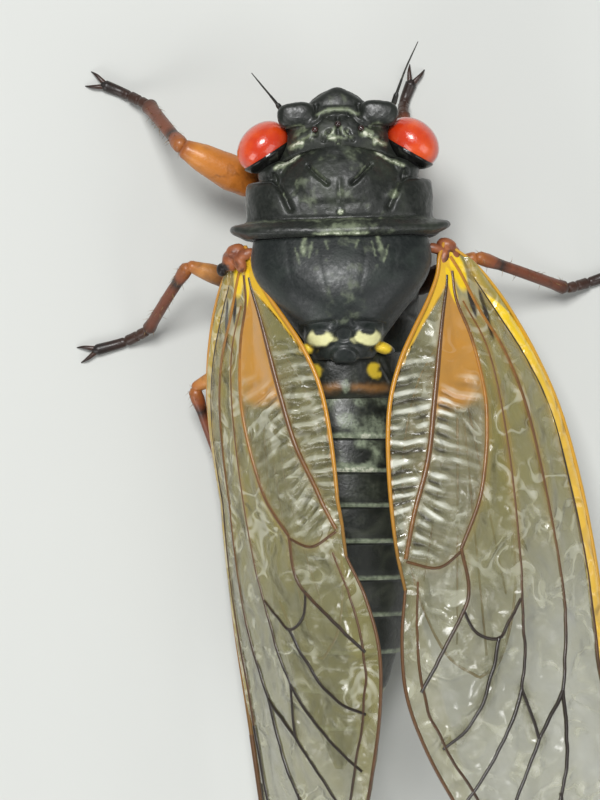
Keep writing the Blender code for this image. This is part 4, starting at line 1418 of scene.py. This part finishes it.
@dataclass
class Wing:
    """One side's wings: clear pleated skins and raised veins, folded like a roof.

    A place on a wing is s from the base to the tip and q across, towards the front margin.
    """

    side: Side
    axis: tuple[tuple[float, ...], ...]
    slope: tuple[tuple[float, float], ...]
    bend: tuple[tuple[float, float], ...]
    front: tuple[tuple[float, float], ...] = (
        (-0.9, 0.1), (-0.35, 0.75), (0.3, 1.35), (1.3, 1.95), (2.5, 2.5), (4.5, 3.2), (7, 3.75), (10, 3.85),
        (13, 3.55), (17, 2.85), (21, 2.4), (26, 2.0), (30, 1.35), (32.35, 0.5), (33.12, -0.6))
    tip: tuple[tuple[float, float], ...] = (
        (33.12, -0.6), (32.15, -1.9), (30, -3.1), (27, -4.3), (24, -5.3), (21.5, -6.1), (19, -6.7),
        (16.6, -6.9), (14.4, -6.5), (12.4, -5.8))
    inner: tuple[tuple[float, float], ...] = (
        (12.4, -5.8), (10.6, -5.7), (8.2, -5.3), (6, -4.75), (4.5, -4.15), (3.2, -3.3), (2.2, -2.4),
        (1.2, -1.4), (0.3, -0.65), (-0.4, -0.3), (-0.9, 0.1))
    hind: tuple[tuple[float, float], ...] = (
        (3.2, 0.2), (5.5, 0.7), (8, 0.7), (11, 0.2), (14, -0.7), (16.3, -2.2), (16.8, -3.4),
        (15.4, -4.6), (12.5, -5.1), (9.5, -4.8), (6.6, -3.9), (4.4, -2.6), (3.2, -1.3))
    hind_turn: int = 6
    ray_root: tuple[float, float] = (3.4, -0.3)
    ray_ends: tuple[tuple[float, float], ...] = (
        (8.0, 0.3), (13.8, -1.1), (16.0, -2.8), (15.2, -4.0), (12.3, -4.7), (9.3, -4.4), (6.5, -3.5))
    hind_depth: float = 0.80
    thick: float = 0.025
    pleat: float = 0.085
    pleat_length: float = 0.70
    gild: float = 1.0
    # shine scales the painted highlights and painted shade on the pleats.
    shine: float = 1.0
    columns: int = 84

    def at(self, s: Array, q: Array, depth: Array | float = 0.0) -> Array:
        """Return places on the wing.

        Args:
            s: Distances from the base.
            q: Distances across.
            depth: How far below the wing's surface.

        Returns:
            One point for each.
        """
        table = np.array(self.axis)
        slope = np.gradient(table[:, 1:], table[:, 0], axis=0)
        k = np.clip(np.searchsorted(table[:, 0], s) - 1, 0, len(table) - 2)
        span = (table[k + 1, 0] - table[k, 0])[:, None]
        t = (s - table[k, 0])[:, None] / span
        base = ((2 * t ** 3 - 3 * t * t + 1) * table[k, 1:] + (t ** 3 - 2 * t * t + t) * span * slope[k]
                + (3 * t * t - 2 * t ** 3) * table[k + 1, 1:] + (t ** 3 - t * t) * span * slope[k + 1])
        along = ((6 * t * t - 6 * t) / span * table[k, 1:] + (3 * t * t - 4 * t + 1) * slope[k]
                 + (6 * t - 6 * t * t) / span * table[k + 1, 1:] + (3 * t * t - 2 * t) * slope[k + 1])
        out = np.stack([along[:, 1], -along[:, 0], np.zeros(len(s))], axis=1) * self.side.value
        out /= np.linalg.norm(out, axis=1)[:, None]
        first = np.radians(np.interp(s, *zip(*self.slope)))
        rate = np.radians(np.interp(s, *zip(*self.bend)))
        angle = first + rate * q
        across = (np.sin(angle) - np.sin(first)) / rate
        drop = (np.cos(first) - np.cos(angle)) / rate
        up = np.array([0.0, 0.0, 1.0])
        normal = out * np.sin(angle)[:, None] + up * np.cos(angle)[:, None]
        below = np.broadcast_to(depth, s.shape)[:, None]
        return base + out * across[:, None] - up * drop[:, None] - normal * below

    def grid(self, low: Array, high: Array, stations: Array) -> tuple[Array, Array]:
        """Lay a grid between two margins.

        Args:
            low: The inner margin, as s and q with s rising.
            high: The front margin, the same way.
            stations: The values of s.

        Returns:
            The grid's s and q, a row for each station.
        """
        a = np.interp(stations, low[:, 0], low[:, 1])
        b = np.interp(stations, high[:, 0], high[:, 1])
        share = np.linspace(0, 1, self.columns)
        q = a[:, None] + (b - a)[:, None] * share
        return np.repeat(stations[:, None], self.columns, axis=1), q

    def sheet(self, s: Array, q: Array, depth: Array) -> Shell:
        """Skin a grid on both faces and close its rim.

        Args:
            s: The grid's distances from the base.
            q: Its distances across.
            depth: How far below the wing's surface each point lies.

        Returns:
            The closed shell, the upper face's points first.
        """
        rows, cols = s.shape
        flat_s, flat_q = s.ravel(), q.ravel()
        top = self.at(flat_s, flat_q, depth - self.thick)
        under = self.at(flat_s, flat_q, depth + self.thick)
        count = rows * cols
        quads = [(r * cols + k, r * cols + k + 1, (r + 1) * cols + k + 1, (r + 1) * cols + k)
                 for r in range(rows - 1) for k in range(cols - 1)]
        faces = quads + [tuple(count + k for k in reversed(f)) for f in quads]
        rim = list(range(cols)) + [r * cols + cols - 1 for r in range(1, rows)]
        rim += [(rows - 1) * cols + k for k in range(cols - 2, -1, -1)]
        rim += [r * cols for r in range(rows - 2, 0, -1)]
        faces += [(b, a, count + a, count + b) for a, b in zip(rim, rim[1:] + rim[:1])]
        return Shell(np.vstack([top, under]), faces)

    def build(self, skin: bpy.types.Material, vein_look: bpy.types.Material) -> None:
        """Make the forewing, the hindwing and their veins.

        Args:
            skin: The membrane's material.
            vein_look: The veins' material.
        """
        self.forewing(skin)
        self.fore_veins(vein_look)
        self.hindwing(skin, vein_look)

    def forewing(self, skin: bpy.types.Material) -> None:
        """Make the forewing's membrane with its pleats, sags and coloured cells.

        Args:
            skin: Its material.
        """
        front = spline(self.front, 8)
        inner = np.vstack([spline(self.tip, 8), spline(self.inner, 8)[1:]])[::-1]
        stations = np.concatenate([np.arange(-0.88, 13.5, 0.068), np.arange(13.5, 33.0, 0.17), [33.10]])
        s, q = self.grid(inner, front, stations)
        flat = np.stack([s.ravel(), q.ravel()], axis=1)
        spots = np.c_[flat, np.zeros(len(flat))]
        veins = {vein.name: spline(vein.path, 8) for vein in VEINS}
        bar = np.min([reach(flat, line) for line in veins.values()], axis=0)

        def beyond(name: str, soft: float = 0.12) -> Array:
            """Return 1 on the front side of a vein and 0 behind it."""
            line = veins[name]
            return ease(flat[:, 1] - np.interp(flat[:, 0], line[:, 0], line[:, 1]), -soft, soft)

        noise = rough(spots, 1.6, 61)
        inner_cell = 1 - beyond("claval")
        begin = flat[:, 0] + 0.5 * noise - 1.9 * (1 - inner_cell)
        deep = ease(begin, 2.4, 3.6) * (1 - ease(flat[:, 0], 10.8, 12.2))
        lean = -0.14 * inner_cell - 0.62 * (1 - inner_cell)
        wave = np.sin(2 * math.pi * (flat[:, 0] + lean * flat[:, 1] + 0.30 * noise) / self.pleat_length)
        across = flat[:, 1] - np.interp(flat[:, 0], veins["claval"][:, 0], veins["claval"][:, 1])
        field = deep * (1 - beyond("cubital", 0.3)) * ease(bar, 0.08, 0.28)
        field = field * (1 - 0.65 * ease(across, 1.0, 2.2))
        broken = ease(rough(spots * (1, 0.6, 1), 0.75, 65), -0.55, 0.25)
        pleats = self.pleat * field * wave
        sag = 0.10 * ease(bar, 0.0, 0.9)
        band_rows = 0.8 * beyond("costa", 0.2)
        outer_cells = np.maximum(beyond("cubital", 0.3), ease(flat[:, 0], 11.5, 12.5))
        ripple = (0.04 + 0.11 * outer_cells) * rough(spots, 1.1, 63, 2)
        ripple = ripple * ease(bar, 0.05, 0.5) * (1 - band_rows)
        edge = np.interp(flat[:, 0], veins["costa"][:, 0], veins["costa"][:, 1])
        margin = np.interp(flat[:, 0], front[:, 0], front[:, 1])
        band = ease(flat[:, 1] - edge, -0.06, 0.06) * (1 - ease(flat[:, 0], 18.0, 20.0))
        outside = ease(flat[:, 1] - margin + 0.9 * (1 - ease(flat[:, 0], 0.6, 3.6)), -0.05, 0.05)
        bulge = 0.12 * band * np.clip(1 - ((flat[:, 1] - (edge + margin) / 2) / 0.36) ** 2, 0, 1)
        fore = self.sheet(s, q, sag - pleats - ripple - bulge)
        second = beyond("claval") * (1 - beyond("cubital"))
        hot = second * (1 - ease(flat[:, 0] + 1.3 * noise, 5.0, 6.6))
        root = (1 - ease(flat[:, 0], 0.1, 1.0)) * (1 - ease(flat[:, 1], 0.3, 0.7))
        from_inner = flat[:, 1] - np.interp(flat[:, 0], inner[:, 0], inner[:, 1])
        hem = np.interp(flat[:, 0], [0.0, 1.0, 2.2, 4.0, 12.0], [0.75, 0.62, 0.42, 0.15, 0.10])
        rim = (1 - ease(from_inner / hem, 0.8, 1.1)) * (1 - ease(flat[:, 0], 8.0, 12.5))
        amber = np.clip(hot + root + rim + 0.30 * hill(bar, 0.22) * (1 - ease(flat[:, 0], 8, 16)), 0, 1)
        olive = 0.85 * beyond("cubital") * (1 - ease(flat[:, 0], 7, 17)) + 0.35 * inner_cell * (1 - deep)
        gold = spot(spots, (0.30, 0.42), (0.95, 0.34), False) + spot(spots, (0.9, -0.12), (0.8, 0.16), False)
        gold = np.clip(gold + 0.5 * rim * (1 - ease(flat[:, 0], 2.5, 4.5)), 0, 1)
        wedge = spot(spots, (1.7, 0.62), (0.75, 0.13), False) + spot(spots, (2.4, 1.15), (1.2, 0.12), False)
        clouded = np.minimum(reach(flat, veins["cu_upper"][:24]), reach(flat, veins["m_upper"]))
        clouds = hill(clouded, 0.30) * 0.5
        gilt = band * ease(flat[:, 0], -0.6, 0.4) * (1 - 0.85 * outside) * self.gild
        marks = {"yellow": np.clip(gilt + gold, 0, 1), "amber": amber,
                 "fade": band * ease(flat[:, 0], 2.0, 8.0),
                 "olive": np.clip(olive + (0.45 + 0.5 * band) * (1 - self.gild) + band * outside, 0, 1),
                 # Painted highlight along the pleats' crests and painted shade along their troughs, both
                 # scaled by shine.
                 "crest": np.clip(0.9 * field * broken * ease(wave, 0.25, 0.95), 0, 1) * self.shine,
                 "trough": np.clip(field * broken * ease(-wave, 0.2, 1.0), 0, 1) * (0.4 + 0.6 * self.shine),
                 "smoke": np.clip(clouds + wedge * (1 - gold), 0, 1)}
        fore.marks = {name: np.concatenate([m, m]) for name, m in marks.items()}
        piece("forewing_skin_" + self.side.word, fore, skin, ["forewing_" + self.side.word])

    def fore_veins(self, look: bpy.types.Material) -> None:
        """Make the forewing's veins and its rim.

        Args:
            look: Their material.
        """
        front = spline(self.front, 8)
        lines = []
        for vein in VEINS:
            path = spline(vein.path, 8)
            path = evened(path, max(4, int(reach_length(path) / 0.22)))
            far = ease(path[:, 0], 11.5, 15.0)
            path[:, 1] += 0.10 * far * rough(np.c_[path, np.zeros(len(path))], 0.8, 67, 2)
            lines.append(self.line(path, vein.radii, vein.ages, vein.gold, 0.0))
        near, far = front[front[:, 0] < 20], front[front[:, 0] > 19.5]
        for path, count, radii, ages, shine in (
                (near, 110, (0.06, 0.09, 0.09, 0.08), (0.1, 0.1, 0.2, 0.5), 0.35 * self.gild),
                (far, 70, (0.09, 0.06), (0.6, 0.8), 0.0),
                (spline(self.inner, 8), 80, (0.07, 0.09, 0.10, 0.08), (0.45, 0.15, 0.0, 0.0), 0.10),
                (spline(self.tip, 8), 120, (0.05, 0.06), (0.9, 0.5), 0.0)):
            lines.append(self.line(evened(path, count), radii, ages, shine, 0.0))
        VeinTubes().skin("forewing_veins_" + self.side.word, lines, look)

    def hindwing(self, skin: bpy.types.Material, vein_look: bpy.types.Material) -> None:
        """Make the folded hindwing's membrane and its rays.

        Args:
            skin: The membrane's material.
            vein_look: The rays' material.
        """
        upper = spline(self.hind[:self.hind_turn + 1], 8)
        lower = spline(self.hind[self.hind_turn:], 8)[::-1]
        s, q = self.grid(lower, upper, np.arange(3.22, 16.76, 0.14))
        flat = np.stack([s.ravel(), q.ravel()], axis=1)
        folds = 0.09 * np.sin(2 * math.pi * (flat[:, 1] + 0.1 * flat[:, 0]) / 1.1)
        hindwing = self.sheet(s, q, self.hind_depth + folds)
        amber = np.clip(0.9 - flat[:, 0] / 16, 0.1, 1)
        hindwing.marks = {"amber": np.concatenate([amber, amber]) * 0.7}
        piece("hindwing_skin_" + self.side.word, hindwing, skin, ["hindwing_" + self.side.word])
        lines = []
        for end in self.ray_ends:
            ray = evened(np.array([self.ray_root, end], float), 50)
            lines.append(self.line(ray, (0.06, 0.04), (0.2, 0.7), 0.0, self.hind_depth - 0.02))
        rim = evened(np.vstack([upper, lower[::-1]]), 160)
        lines.append(self.line(rim, (0.06, 0.05), (0.3, 0.6, 0.3), 0.0, self.hind_depth))
        VeinTubes(6).skin("hindwing_veins_" + self.side.word, lines, vein_look)

    def line(self, path: Array, radii: Sequence[float], ages: Sequence[float], gold: float,
             depth: float) -> tuple[Array, ...]:
        """Lay a vein along a path on the wing.

        Args:
            path: Its s and q.
            radii: Its radii at even steps along it.
            ages: Its ages at even steps, 0 orange and 1 black.
            gold: How golden it is.
            depth: How far below the wing's surface.

        Returns:
            Its points, radii, ages and shares of gold.
        """
        share = np.linspace(0, 1, len(path))
        radius = np.interp(share, np.linspace(0, 1, len(radii)), radii) * (1 + 0.3 * ease(path[:, 0], 12, 17))
        age = np.interp(share, np.linspace(0, 1, len(ages)), ages)
        return self.at(path[:, 0], path[:, 1], depth), radius, age, np.full(len(path), gold)


def reach_length(path: Array) -> float:
    """Return the length of a path."""
    return float(np.linalg.norm(np.diff(path, axis=0), axis=1).sum())


@dataclass(frozen=True)
class Vein:
    """One vein of the forewing: its path as s and q, radii and ages at even steps, and gold."""

    name: str
    path: tuple[tuple[float, float], ...]
    radii: tuple[float, ...]
    ages: tuple[float, ...]
    gold: float = 0.0


VEINS = (
    Vein("costa", ((0.3, 0.95), (0.9, 1.1), (2.5, 1.75), (4.6, 2.6), (7, 3.2), (10, 3.2), (13, 2.95),
                   (17, 2.2), (19.5, 1.85)), (0.04, 0.06, 0.07, 0.07), (0.9, 0.9, 0.7, 0.7)),
    Vein("stem", ((-0.3, 0.2), (0.4, 0.45), (2.2, 0.9), (4.2, 1.6), (7.1, 1.9), (11.8, 1.6), (15.5, 0.95),
                  (18.3, -0.1)),
         (0.08, 0.08, 0.06, 0.06), (0.2, 0.45, 0.55, 0.9)),
    Vein("median", ((1.6, 0.2), (4.0, 0.75), (8.0, 0.4), (12.5, -0.45), (15.8, -1.3), (17.7, -2.0)),
         (0.05, 0.055, 0.055), (0.4, 0.5, 0.9)),
    Vein("cubital", ((0.3, 0.1), (1.5, -0.1), (3.2, 0.1), (5.4, 0.0), (7.0, -0.4), (8.5, -1.0), (9.8, -1.7),
                     (11.4, -3.0)), (0.07, 0.09, 0.09, 0.08), (0.6, 0.25, 0.35, 0.6)),
    Vein("claval", ((0.4, -0.2), (0.9, -0.4), (2.5, -1.2), (5.2, -2.4), (7.5, -3.4), (9.5, -4.6),
                    (11.2, -5.45)),
         (0.06, 0.12, 0.12, 0.09), (0.8, 0.5, 0.45, 0.4)),
    Vein("crossbar", ((11.3, -5.45), (11.9, -4.2), (11.5, -3.0)), (0.065, 0.065), (0.6, 0.7)),
    Vein("cu_lower", ((11.4, -3.0), (13.3, -3.2), (14.6, -4.3), (15.7, -5.4), (16.6, -6.3)),
         (0.08, 0.06), (0.6, 0.9)),
    Vein("bridge", ((13.8, -3.6), (14.9, -3.3), (15.4, -2.4), (14.8, -1.7), (14.1, -0.9)),
         (0.06, 0.06), (0.9, 0.8)),
    Vein("cu_upper", ((15.4, -2.4), (17.3, -3.5), (18.5, -4.7), (19.1, -6.0)), (0.07, 0.05), (0.9, 1.0)),
    Vein("m_lower", ((17.7, -2.0), (19.1, -3.1), (20.6, -4.6), (21.4, -5.6)), (0.07, 0.05), (1.0, 1.0)),
    Vein("m_upper", ((17.7, -2.0), (19.0, -1.9), (19.9, -1.8)), (0.06, 0.06), (1.0, 1.0)),
    Vein("r_lower", ((18.3, -0.1), (19.9, -1.8), (21.9, -3.5), (23.6, -4.9)), (0.07, 0.05), (1.0, 1.0)),
    Vein("r_middle", ((18.3, -0.1), (21.0, -0.8), (23.5, -2.3), (26.0, -4.0)), (0.07, 0.05), (1.0, 0.9)),
    Vein("r_upper", ((19.5, 1.85), (22.5, 1.4), (26.0, 0.5), (29.0, -0.8), (30.4, -2.1)),
         (0.08, 0.05), (0.9, 0.9)),
    Vein("r_tip", ((22.3, -1.6), (25.0, -1.9), (27.6, -2.9)), (0.06, 0.05), (0.9, 0.9)),
    Vein("marginal", ((12.2, -5.2), (14.5, -5.9), (16.8, -6.2), (19.0, -5.9), (21.4, -5.2), (24.0, -4.3),
                      (27.0, -3.2), (30.4, -1.6), (31.4, -0.4), (30.2, 0.6), (26, 1.5), (22, 1.9)),
         (0.05, 0.05), (0.6, 0.9, 0.9)),
)


@dataclass
class WingRoot:
    """The knobbly hinge plates where one side's wings meet the back."""

    side: Side
    lumps: tuple[tuple[float, ...], ...] = (
        (4.38, 0.48, 6.85, 0.42, 0.30, 0.28), (4.62, 0.92, 6.55, 0.34, 0.42, 0.34),
        (4.20, 1.00, 6.95, 0.26, 0.42, 0.24), (4.95, 1.22, 6.25, 0.26, 0.28, 0.28),
        (3.90, 0.62, 7.10, 0.40, 0.24, 0.20), (4.5, 0.8, 6.2, 0.45, 0.45, 0.4))

    def build(self, look: bpy.types.Material) -> None:
        """Make the hinge plates.

        Args:
            look: Their material.
        """
        parts = [ball(mirror(row[:3], self.side), row[3:], 0.3 * self.side.value, 28) for row in self.lumps]
        skin = fused(parts, 0.045, 3)
        skin.raised(lambda p: 0.05 * rough(p, 0.45, 71))
        x, y = np.abs(skin.points[:, 0]), skin.points[:, 1]
        stain = 0.6 * ease(rough(skin.points, 0.4, 73), 0.1, 0.4)
        skin.marks["dark"] = np.clip(ease(x + 0.6 * y, 5.35, 5.6) + stain, 0, 1)
        piece("wing_hinge_" + self.side.word, skin, look, ["wing_root_" + self.side.word])


def scaled(shape: Iterable[tuple[float, float]], radius: float) -> list[tuple[float, float]]:
    """Return a limb's shares of length, each with its share of a radius worked out."""
    return [(share, radius * part) for share, part in shape]


@dataclass
class Leg:
    """One leg: thigh, shin, jointed foot and two claws, resting on the floor."""

    name: str
    root: tuple[float, float]
    knee: tuple[float, float, float]
    ankle: tuple[float, float, float]
    ball: tuple[float, float, float]
    toe: tuple[float, float, float]
    thigh: float
    shin: float
    flank: float
    foot: float = 0.24
    claw: float = 0.62
    thigh_shape: tuple[tuple[float, float], ...] = (
        (0, 0.55), (0.15, 0.85), (0.38, 1), (0.75, 0.78), (0.93, 0.55), (0.975, 0.5), (1, 0.3))
    shin_shape: tuple[tuple[float, float], ...] = (
        (0, 0.5), (0.04, 0.95), (0.12, 1), (0.25, 0.78), (0.85, 0.82), (0.96, 1), (1, 0.6))
    foot_shape: tuple[tuple[float, float], ...] = (
        (0, 0.6), (0.04, 0.9), (0.16, 1), (0.2, 0.7), (0.24, 0.95), (0.42, 1), (0.46, 0.7),
        (0.5, 0.9), (0.92, 1.02), (1, 0.6))

    def build(self, thigh_look: bpy.types.Material, shin_look: bpy.types.Material,
              foot_look: bpy.types.Material) -> Shell:
        """Make the leg's three pieces.

        Args:
            thigh_look: The thigh's material.
            shin_look: The shin's material.
            foot_look: The foot's and claws' material.

        Returns:
            The shin's shell.
        """
        side = 1 if self.knee[0] > 0 else -1
        root = np.array((side * self.flank, *self.root))
        knee, ankle, heel, toe = (np.array(p) for p in (self.knee, self.ankle, self.ball, self.toe))
        middle = (root + knee) / 2 + (0, 0, 0.12)
        thigh = tube([root, middle, knee], scaled(self.thigh_shape, self.thigh), 32, 24)
        thigh.raised(lambda p: 0.02 * rough(p, 0.5, 81))
        piece("thigh_skin_" + self.name, thigh, thigh_look, ["thigh_" + self.name])
        start = knee + (root - knee) / np.linalg.norm(root - knee) * 0.05
        bow = (knee + ankle) / 2 + (0, 0, 0.08)
        shin = tube([start, bow, ankle], scaled(self.shin_shape, self.shin), 24, 24)
        piece("shin_skin_" + self.name, shin, shin_look, ["shin_" + self.name])
        foot = tube([ankle, heel, toe], scaled(self.foot_shape, self.foot), 24, 24, 0.0)
        ahead = (toe - heel) / np.linalg.norm(toe - heel)
        across = np.array((ahead[1], -ahead[0], 0.0))
        for way in (1, -1):
            path = [toe - ahead * 0.12 + across * way * 0.08,
                    toe + ahead * self.claw * 0.5 + across * way * 0.26,
                    toe + ahead * self.claw + across * way * 0.34]
            for place, height in zip(path, (0.26, 0.24, 0.06)):
                place[2] = height
            foot = foot + tube(path, [(0, 0.12), (0.5, 0.085), (1, 0.02)], 12, 8, 0.0)
        piece("foot_skin_" + self.name, foot, foot_look, ["foot_" + self.name])
        return shin


@dataclass
class Feeler:
    """One bristle-like antenna on its two thick base segments."""

    side: Side
    path: tuple[tuple[float, float, float], ...]
    radii: tuple[tuple[float, float], ...] = (
        (0, 0.10), (0.02, 0.15), (0.16, 0.16), (0.18, 0.10), (0.20, 0.12), (0.30, 0.11), (0.33, 0.065),
        (0.5, 0.05), (0.52, 0.042), (0.75, 0.036), (1, 0.018))

    def build(self, look: bpy.types.Material) -> None:
        """Make the antenna in a material."""
        skin = tube(self.path, self.radii, 16, 24)
        piece("feeler_" + self.side.word, skin, look, ["antenna_" + self.side.word])


@dataclass(frozen=True)
class Lamp:
    """One soft square light that faces the animal: its place and size in metres, and its watts."""

    name: str
    place: tuple[float, float, float]
    size: float
    power: float


@dataclass
class Studio:
    """The pale floor, the soft lights and the camera straight above the animal.

    The camera's place is in the animal's frame; the floor and the lamps are in metres.
    """

    camera_place: tuple[float, float, float] = (1.873, 6.73, 150.0)
    camera_turn: float = math.radians(178.4)
    lens: float = 155.52
    sensor: float = 36
    near: float = 0.01
    floor: float = 0.6
    lamps: tuple[Lamp, ...] = (
        Lamp("key", (0.03, -0.10, 0.26), 0.09, 0.66),
        Lamp("fill", (-0.16, 0.10, 0.16), 0.16, 0.17),
        Lamp("rim", (0.14, 0.14, 0.12), 0.12, 0.16))
    sky: tuple[float, float, float, float] = (0.86, 0.90, 0.94, 1.0)
    sky_power: float = 0.23

    def build(self, look: bpy.types.Material) -> None:
        """Make the floor in a material, and set lights and camera."""
        self.make_floor(look)
        for lamp in self.lamps:
            self.hang(lamp)
        self.light_sky()
        self.set_camera()

    def make_floor(self, look: bpy.types.Material) -> None:
        """Make the square floor.

        Args:
            look: Its material.
        """
        mesh = bpy.data.meshes.new("floor")
        h = self.floor
        mesh.from_pydata([(-h, -h, 0), (h, -h, 0), (h, h, 0), (-h, h, 0)], [], [(0, 1, 2, 3)])
        mesh.materials.append(look)
        floor = bpy.data.objects.new("floor", mesh)
        bpy.context.scene.collection.objects.link(floor)

    def hang(self, lamp: Lamp) -> None:
        """Hang a lamp and turn it to the animal.

        Args:
            lamp: The lamp.
        """
        data = bpy.data.lights.new(lamp.name, "AREA")
        data.size = lamp.size
        data.energy = lamp.power
        light = bpy.data.objects.new(lamp.name, data)
        light.location = lamp.place
        light.rotation_euler = (-Vector(lamp.place)).to_track_quat("-Z", "Y").to_euler()
        bpy.context.scene.collection.objects.link(light)

    def light_sky(self) -> None:
        """Set the even light all round, and how light turns to colour."""
        world = bpy.data.worlds.new("studio")
        world.use_nodes = True
        background = world.node_tree.nodes["Background"]
        background.inputs["Color"].default_value = self.sky
        background.inputs["Strength"].default_value = self.sky_power
        bpy.context.scene.world = world
        bpy.context.scene.view_settings.view_transform = "Standard"

    def set_camera(self) -> None:
        """Set the camera straight above the animal, turned as the animal lies in the frame."""
        data = bpy.data.cameras.new("camera")
        data.lens = self.lens
        data.sensor_width = self.sensor
        data.clip_start = self.near
        camera = bpy.data.objects.new("camera", data)
        camera.location = placed(np.array(self.camera_place))
        camera.rotation_euler = (0, 0, self.camera_turn)
        bpy.context.scene.collection.objects.link(camera)
        bpy.context.scene.camera = camera


def main() -> None:
    """Build every sub-assembly in order."""
    logging.basicConfig(level=logging.INFO, format="%(message)s")
    ground = PlainLook("pale_floor", (0.61, 0.62, 0.59), (0.615, 0.625, 0.595), 4.0, 0.6, 0.002).make()
    Studio().build(ground)
    shell = ShellLook("olive_black_shell", (0.007, 0.009, 0.006), (0.034, 0.042, 0.026)).make()
    smooth = ShellLook("blue_black_back", (0.005, 0.008, 0.007), (0.022, 0.030, 0.024), coarse=0.008).make()
    face = ShellLook("head_shell", (0.008, 0.010, 0.007), (0.038, 0.044, 0.026)).make()
    plates = ShellLook("abdomen_plates", (0.008, 0.010, 0.007), (0.040, 0.045, 0.030), (0.24, 0.28, 0.19),
                       rough=0.30, coarse=0.015).make()
    eye_look = EyeLook("orange_red_eye", (0.82, 0.105, 0.012), (0.58, 0.035, 0.006)).make()
    bead = EyeLook("ocellus_dark_red", (0.05, 0.008, 0.004), (0.02, 0.004, 0.003)).make()
    rim = PlainLook("eye_rim_black", (0.004, 0.004, 0.004), (0.010, 0.010, 0.008), 0.3, 0.10).make()
    beak = PlainLook("beak_brown", (0.08, 0.028, 0.010), (0.03, 0.012, 0.006), 0.4, 0.4).make()
    eyes = [Eye(side) for side in Side]
    for eye in eyes:
        eye.build(eye_look, rim)
    Head().build(eyes, face, bead, beak)
    Pronotum().build(eyes, shell)
    Mesothorax().build(smooth)
    HindBody().build(plates)
    skin = MembraneLook("amber_membrane").make()
    vein = VeinLook("vein_orange_black").make()
    Wing(Side.LEFT, ((0, 3.95, 1.2, 6.9), (6, 4.35, 7.1, 6.0), (12, 4.2, 13.0, 5.4), (20, 3.4, 20.9, 5.1),
                     (35, 1.9, 35.6, 4.3)), ((0, 45), (10, 63), (35, 62)),
         ((0, 6.0), (14, 6.0), (24, 3.6), (35, 2.5)), gild=0.2, shine=0.45).build(skin, vein)
    Wing(Side.RIGHT, ((0, -4.4, 1.3, 7.1), (6, -5.9, 7.15, 7.2), (12, -7.3, 12.95, 7.0),
                      (20, -9.2, 20.7, 6.6), (35, -12.8, 35.2, 5.4)), ((0, 30), (10, 32), (35, 30)),
         ((0, 3.5), (35, 3.0))).build(skin, vein)
    hinge = PlainLook("hinge_red_brown", (0.36, 0.12, 0.045), (0.18, 0.05, 0.02), 0.5, 0.32, 0.03,
                      (0.01, 0.006, 0.005)).make()
    for side in Side:
        WingRoot(side).build(hinge)
    feeler = PlainLook("feeler_black", (0.010, 0.010, 0.008), (0.03, 0.03, 0.02), 0.3, 0.4).make()
    Feeler(Side.LEFT, ((1.95, -4.98, 6.42), (2.30, -5.35, 6.45), (2.65, -5.80, 6.60), (3.10, -6.35, 6.85),
                       (3.50, -6.85, 7.05))).build(feeler)
    Feeler(Side.RIGHT, ((-1.95, -4.98, 6.42), (-2.30, -5.35, 6.45), (-2.52, -5.95, 6.60),
                        (-2.90, -6.90, 6.85), (-3.42, -7.955, 7.05))).build(feeler)
    fore = LimbLook("fore_thigh_orange", (
        (0.0, (0.22, 0.055, 0.010)), (0.2, (0.46, 0.14, 0.016)), (0.85, (0.60, 0.22, 0.030)),
        (1.0, (0.30, 0.08, 0.015)))).make()
    thigh = LimbLook("thigh_dark_orange", (
        (0.0, (0.02, 0.010, 0.006)), (0.6, (0.10, 0.035, 0.012)), (0.85, (0.55, 0.24, 0.06)),
        (1.0, (0.38, 0.12, 0.025)))).make()
    shin = LimbLook("shin_red_brown", (
        (0.0, (0.36, 0.12, 0.025)), (0.16, (0.24, 0.06, 0.016)), (0.24, (0.02, 0.009, 0.005)),
        (0.34, (0.18, 0.045, 0.014)), (0.85, (0.14, 0.035, 0.012)), (1.0, (0.03, 0.012, 0.006)))).make()
    foot = LimbLook("foot_dark", (
        (0.0, (0.055, 0.020, 0.010)), (0.5, (0.03, 0.012, 0.007)), (1.0, (0.008, 0.005, 0.004)))).make()
    shins = [leg.build(fore if leg.name.startswith("fore") else thigh, shin, foot) for leg in LEGS]
    hair = PlainLook("bristle_brown", (0.16, 0.09, 0.04), (0.45, 0.30, 0.12), 0.3, 0.45).make()
    Bristles().grow("shin_bristles", joined(shins), hair)


LEGS = (
    Leg("fore_left", (-2.3, 3.3), (6.55, -4.05, 4.5), (8.05, -6.15, 1.10), (9.1, -6.75, 0.24),
        (10.1, -7.20, 0.24), 0.78, 0.36, 3.3),
    Leg("fore_right", (-2.0, 2.40), (-3.45, -3.95, 2.30), (-2.90, -5.40, 1.20), (-3.00, -6.05, 0.24),
        (-3.38, -7.00, 0.24), 0.62, 0.30, 2.3),
    Leg("mid_left", (2.2, 2.9), (6.45, 0.92, 4.4), (8.35, 3.55, 0.95), (9.4, 4.0, 0.24), (10.8, 4.36, 0.24),
        0.50, 0.30, 2.9),
    Leg("mid_right", (2.2, 2.9), (-5.75, 0.88, 4.4), (-9.75, 2.25, 0.95), (-10.9, 1.95, 0.24),
        (-12.1, 1.55, 0.24), 0.50, 0.30, 2.9),
    Leg("hind_left", (4.4, 2.6), (6.45, 6.10, 2.15), (5.05, 10.1, 1.00), (4.75, 11.1, 0.24),
        (4.50, 12.4, 0.24), 0.46, 0.30, 2.6),
    Leg("hind_right", (4.4, 2.6), (-6.60, 6.20, 2.45), (-6.95, 10.6, 1.05), (-7.10, 11.7, 0.24),
        (-7.35, 13.0, 0.24), 0.46, 0.30, 2.6),
)


if __name__ == "__main__":
    main()
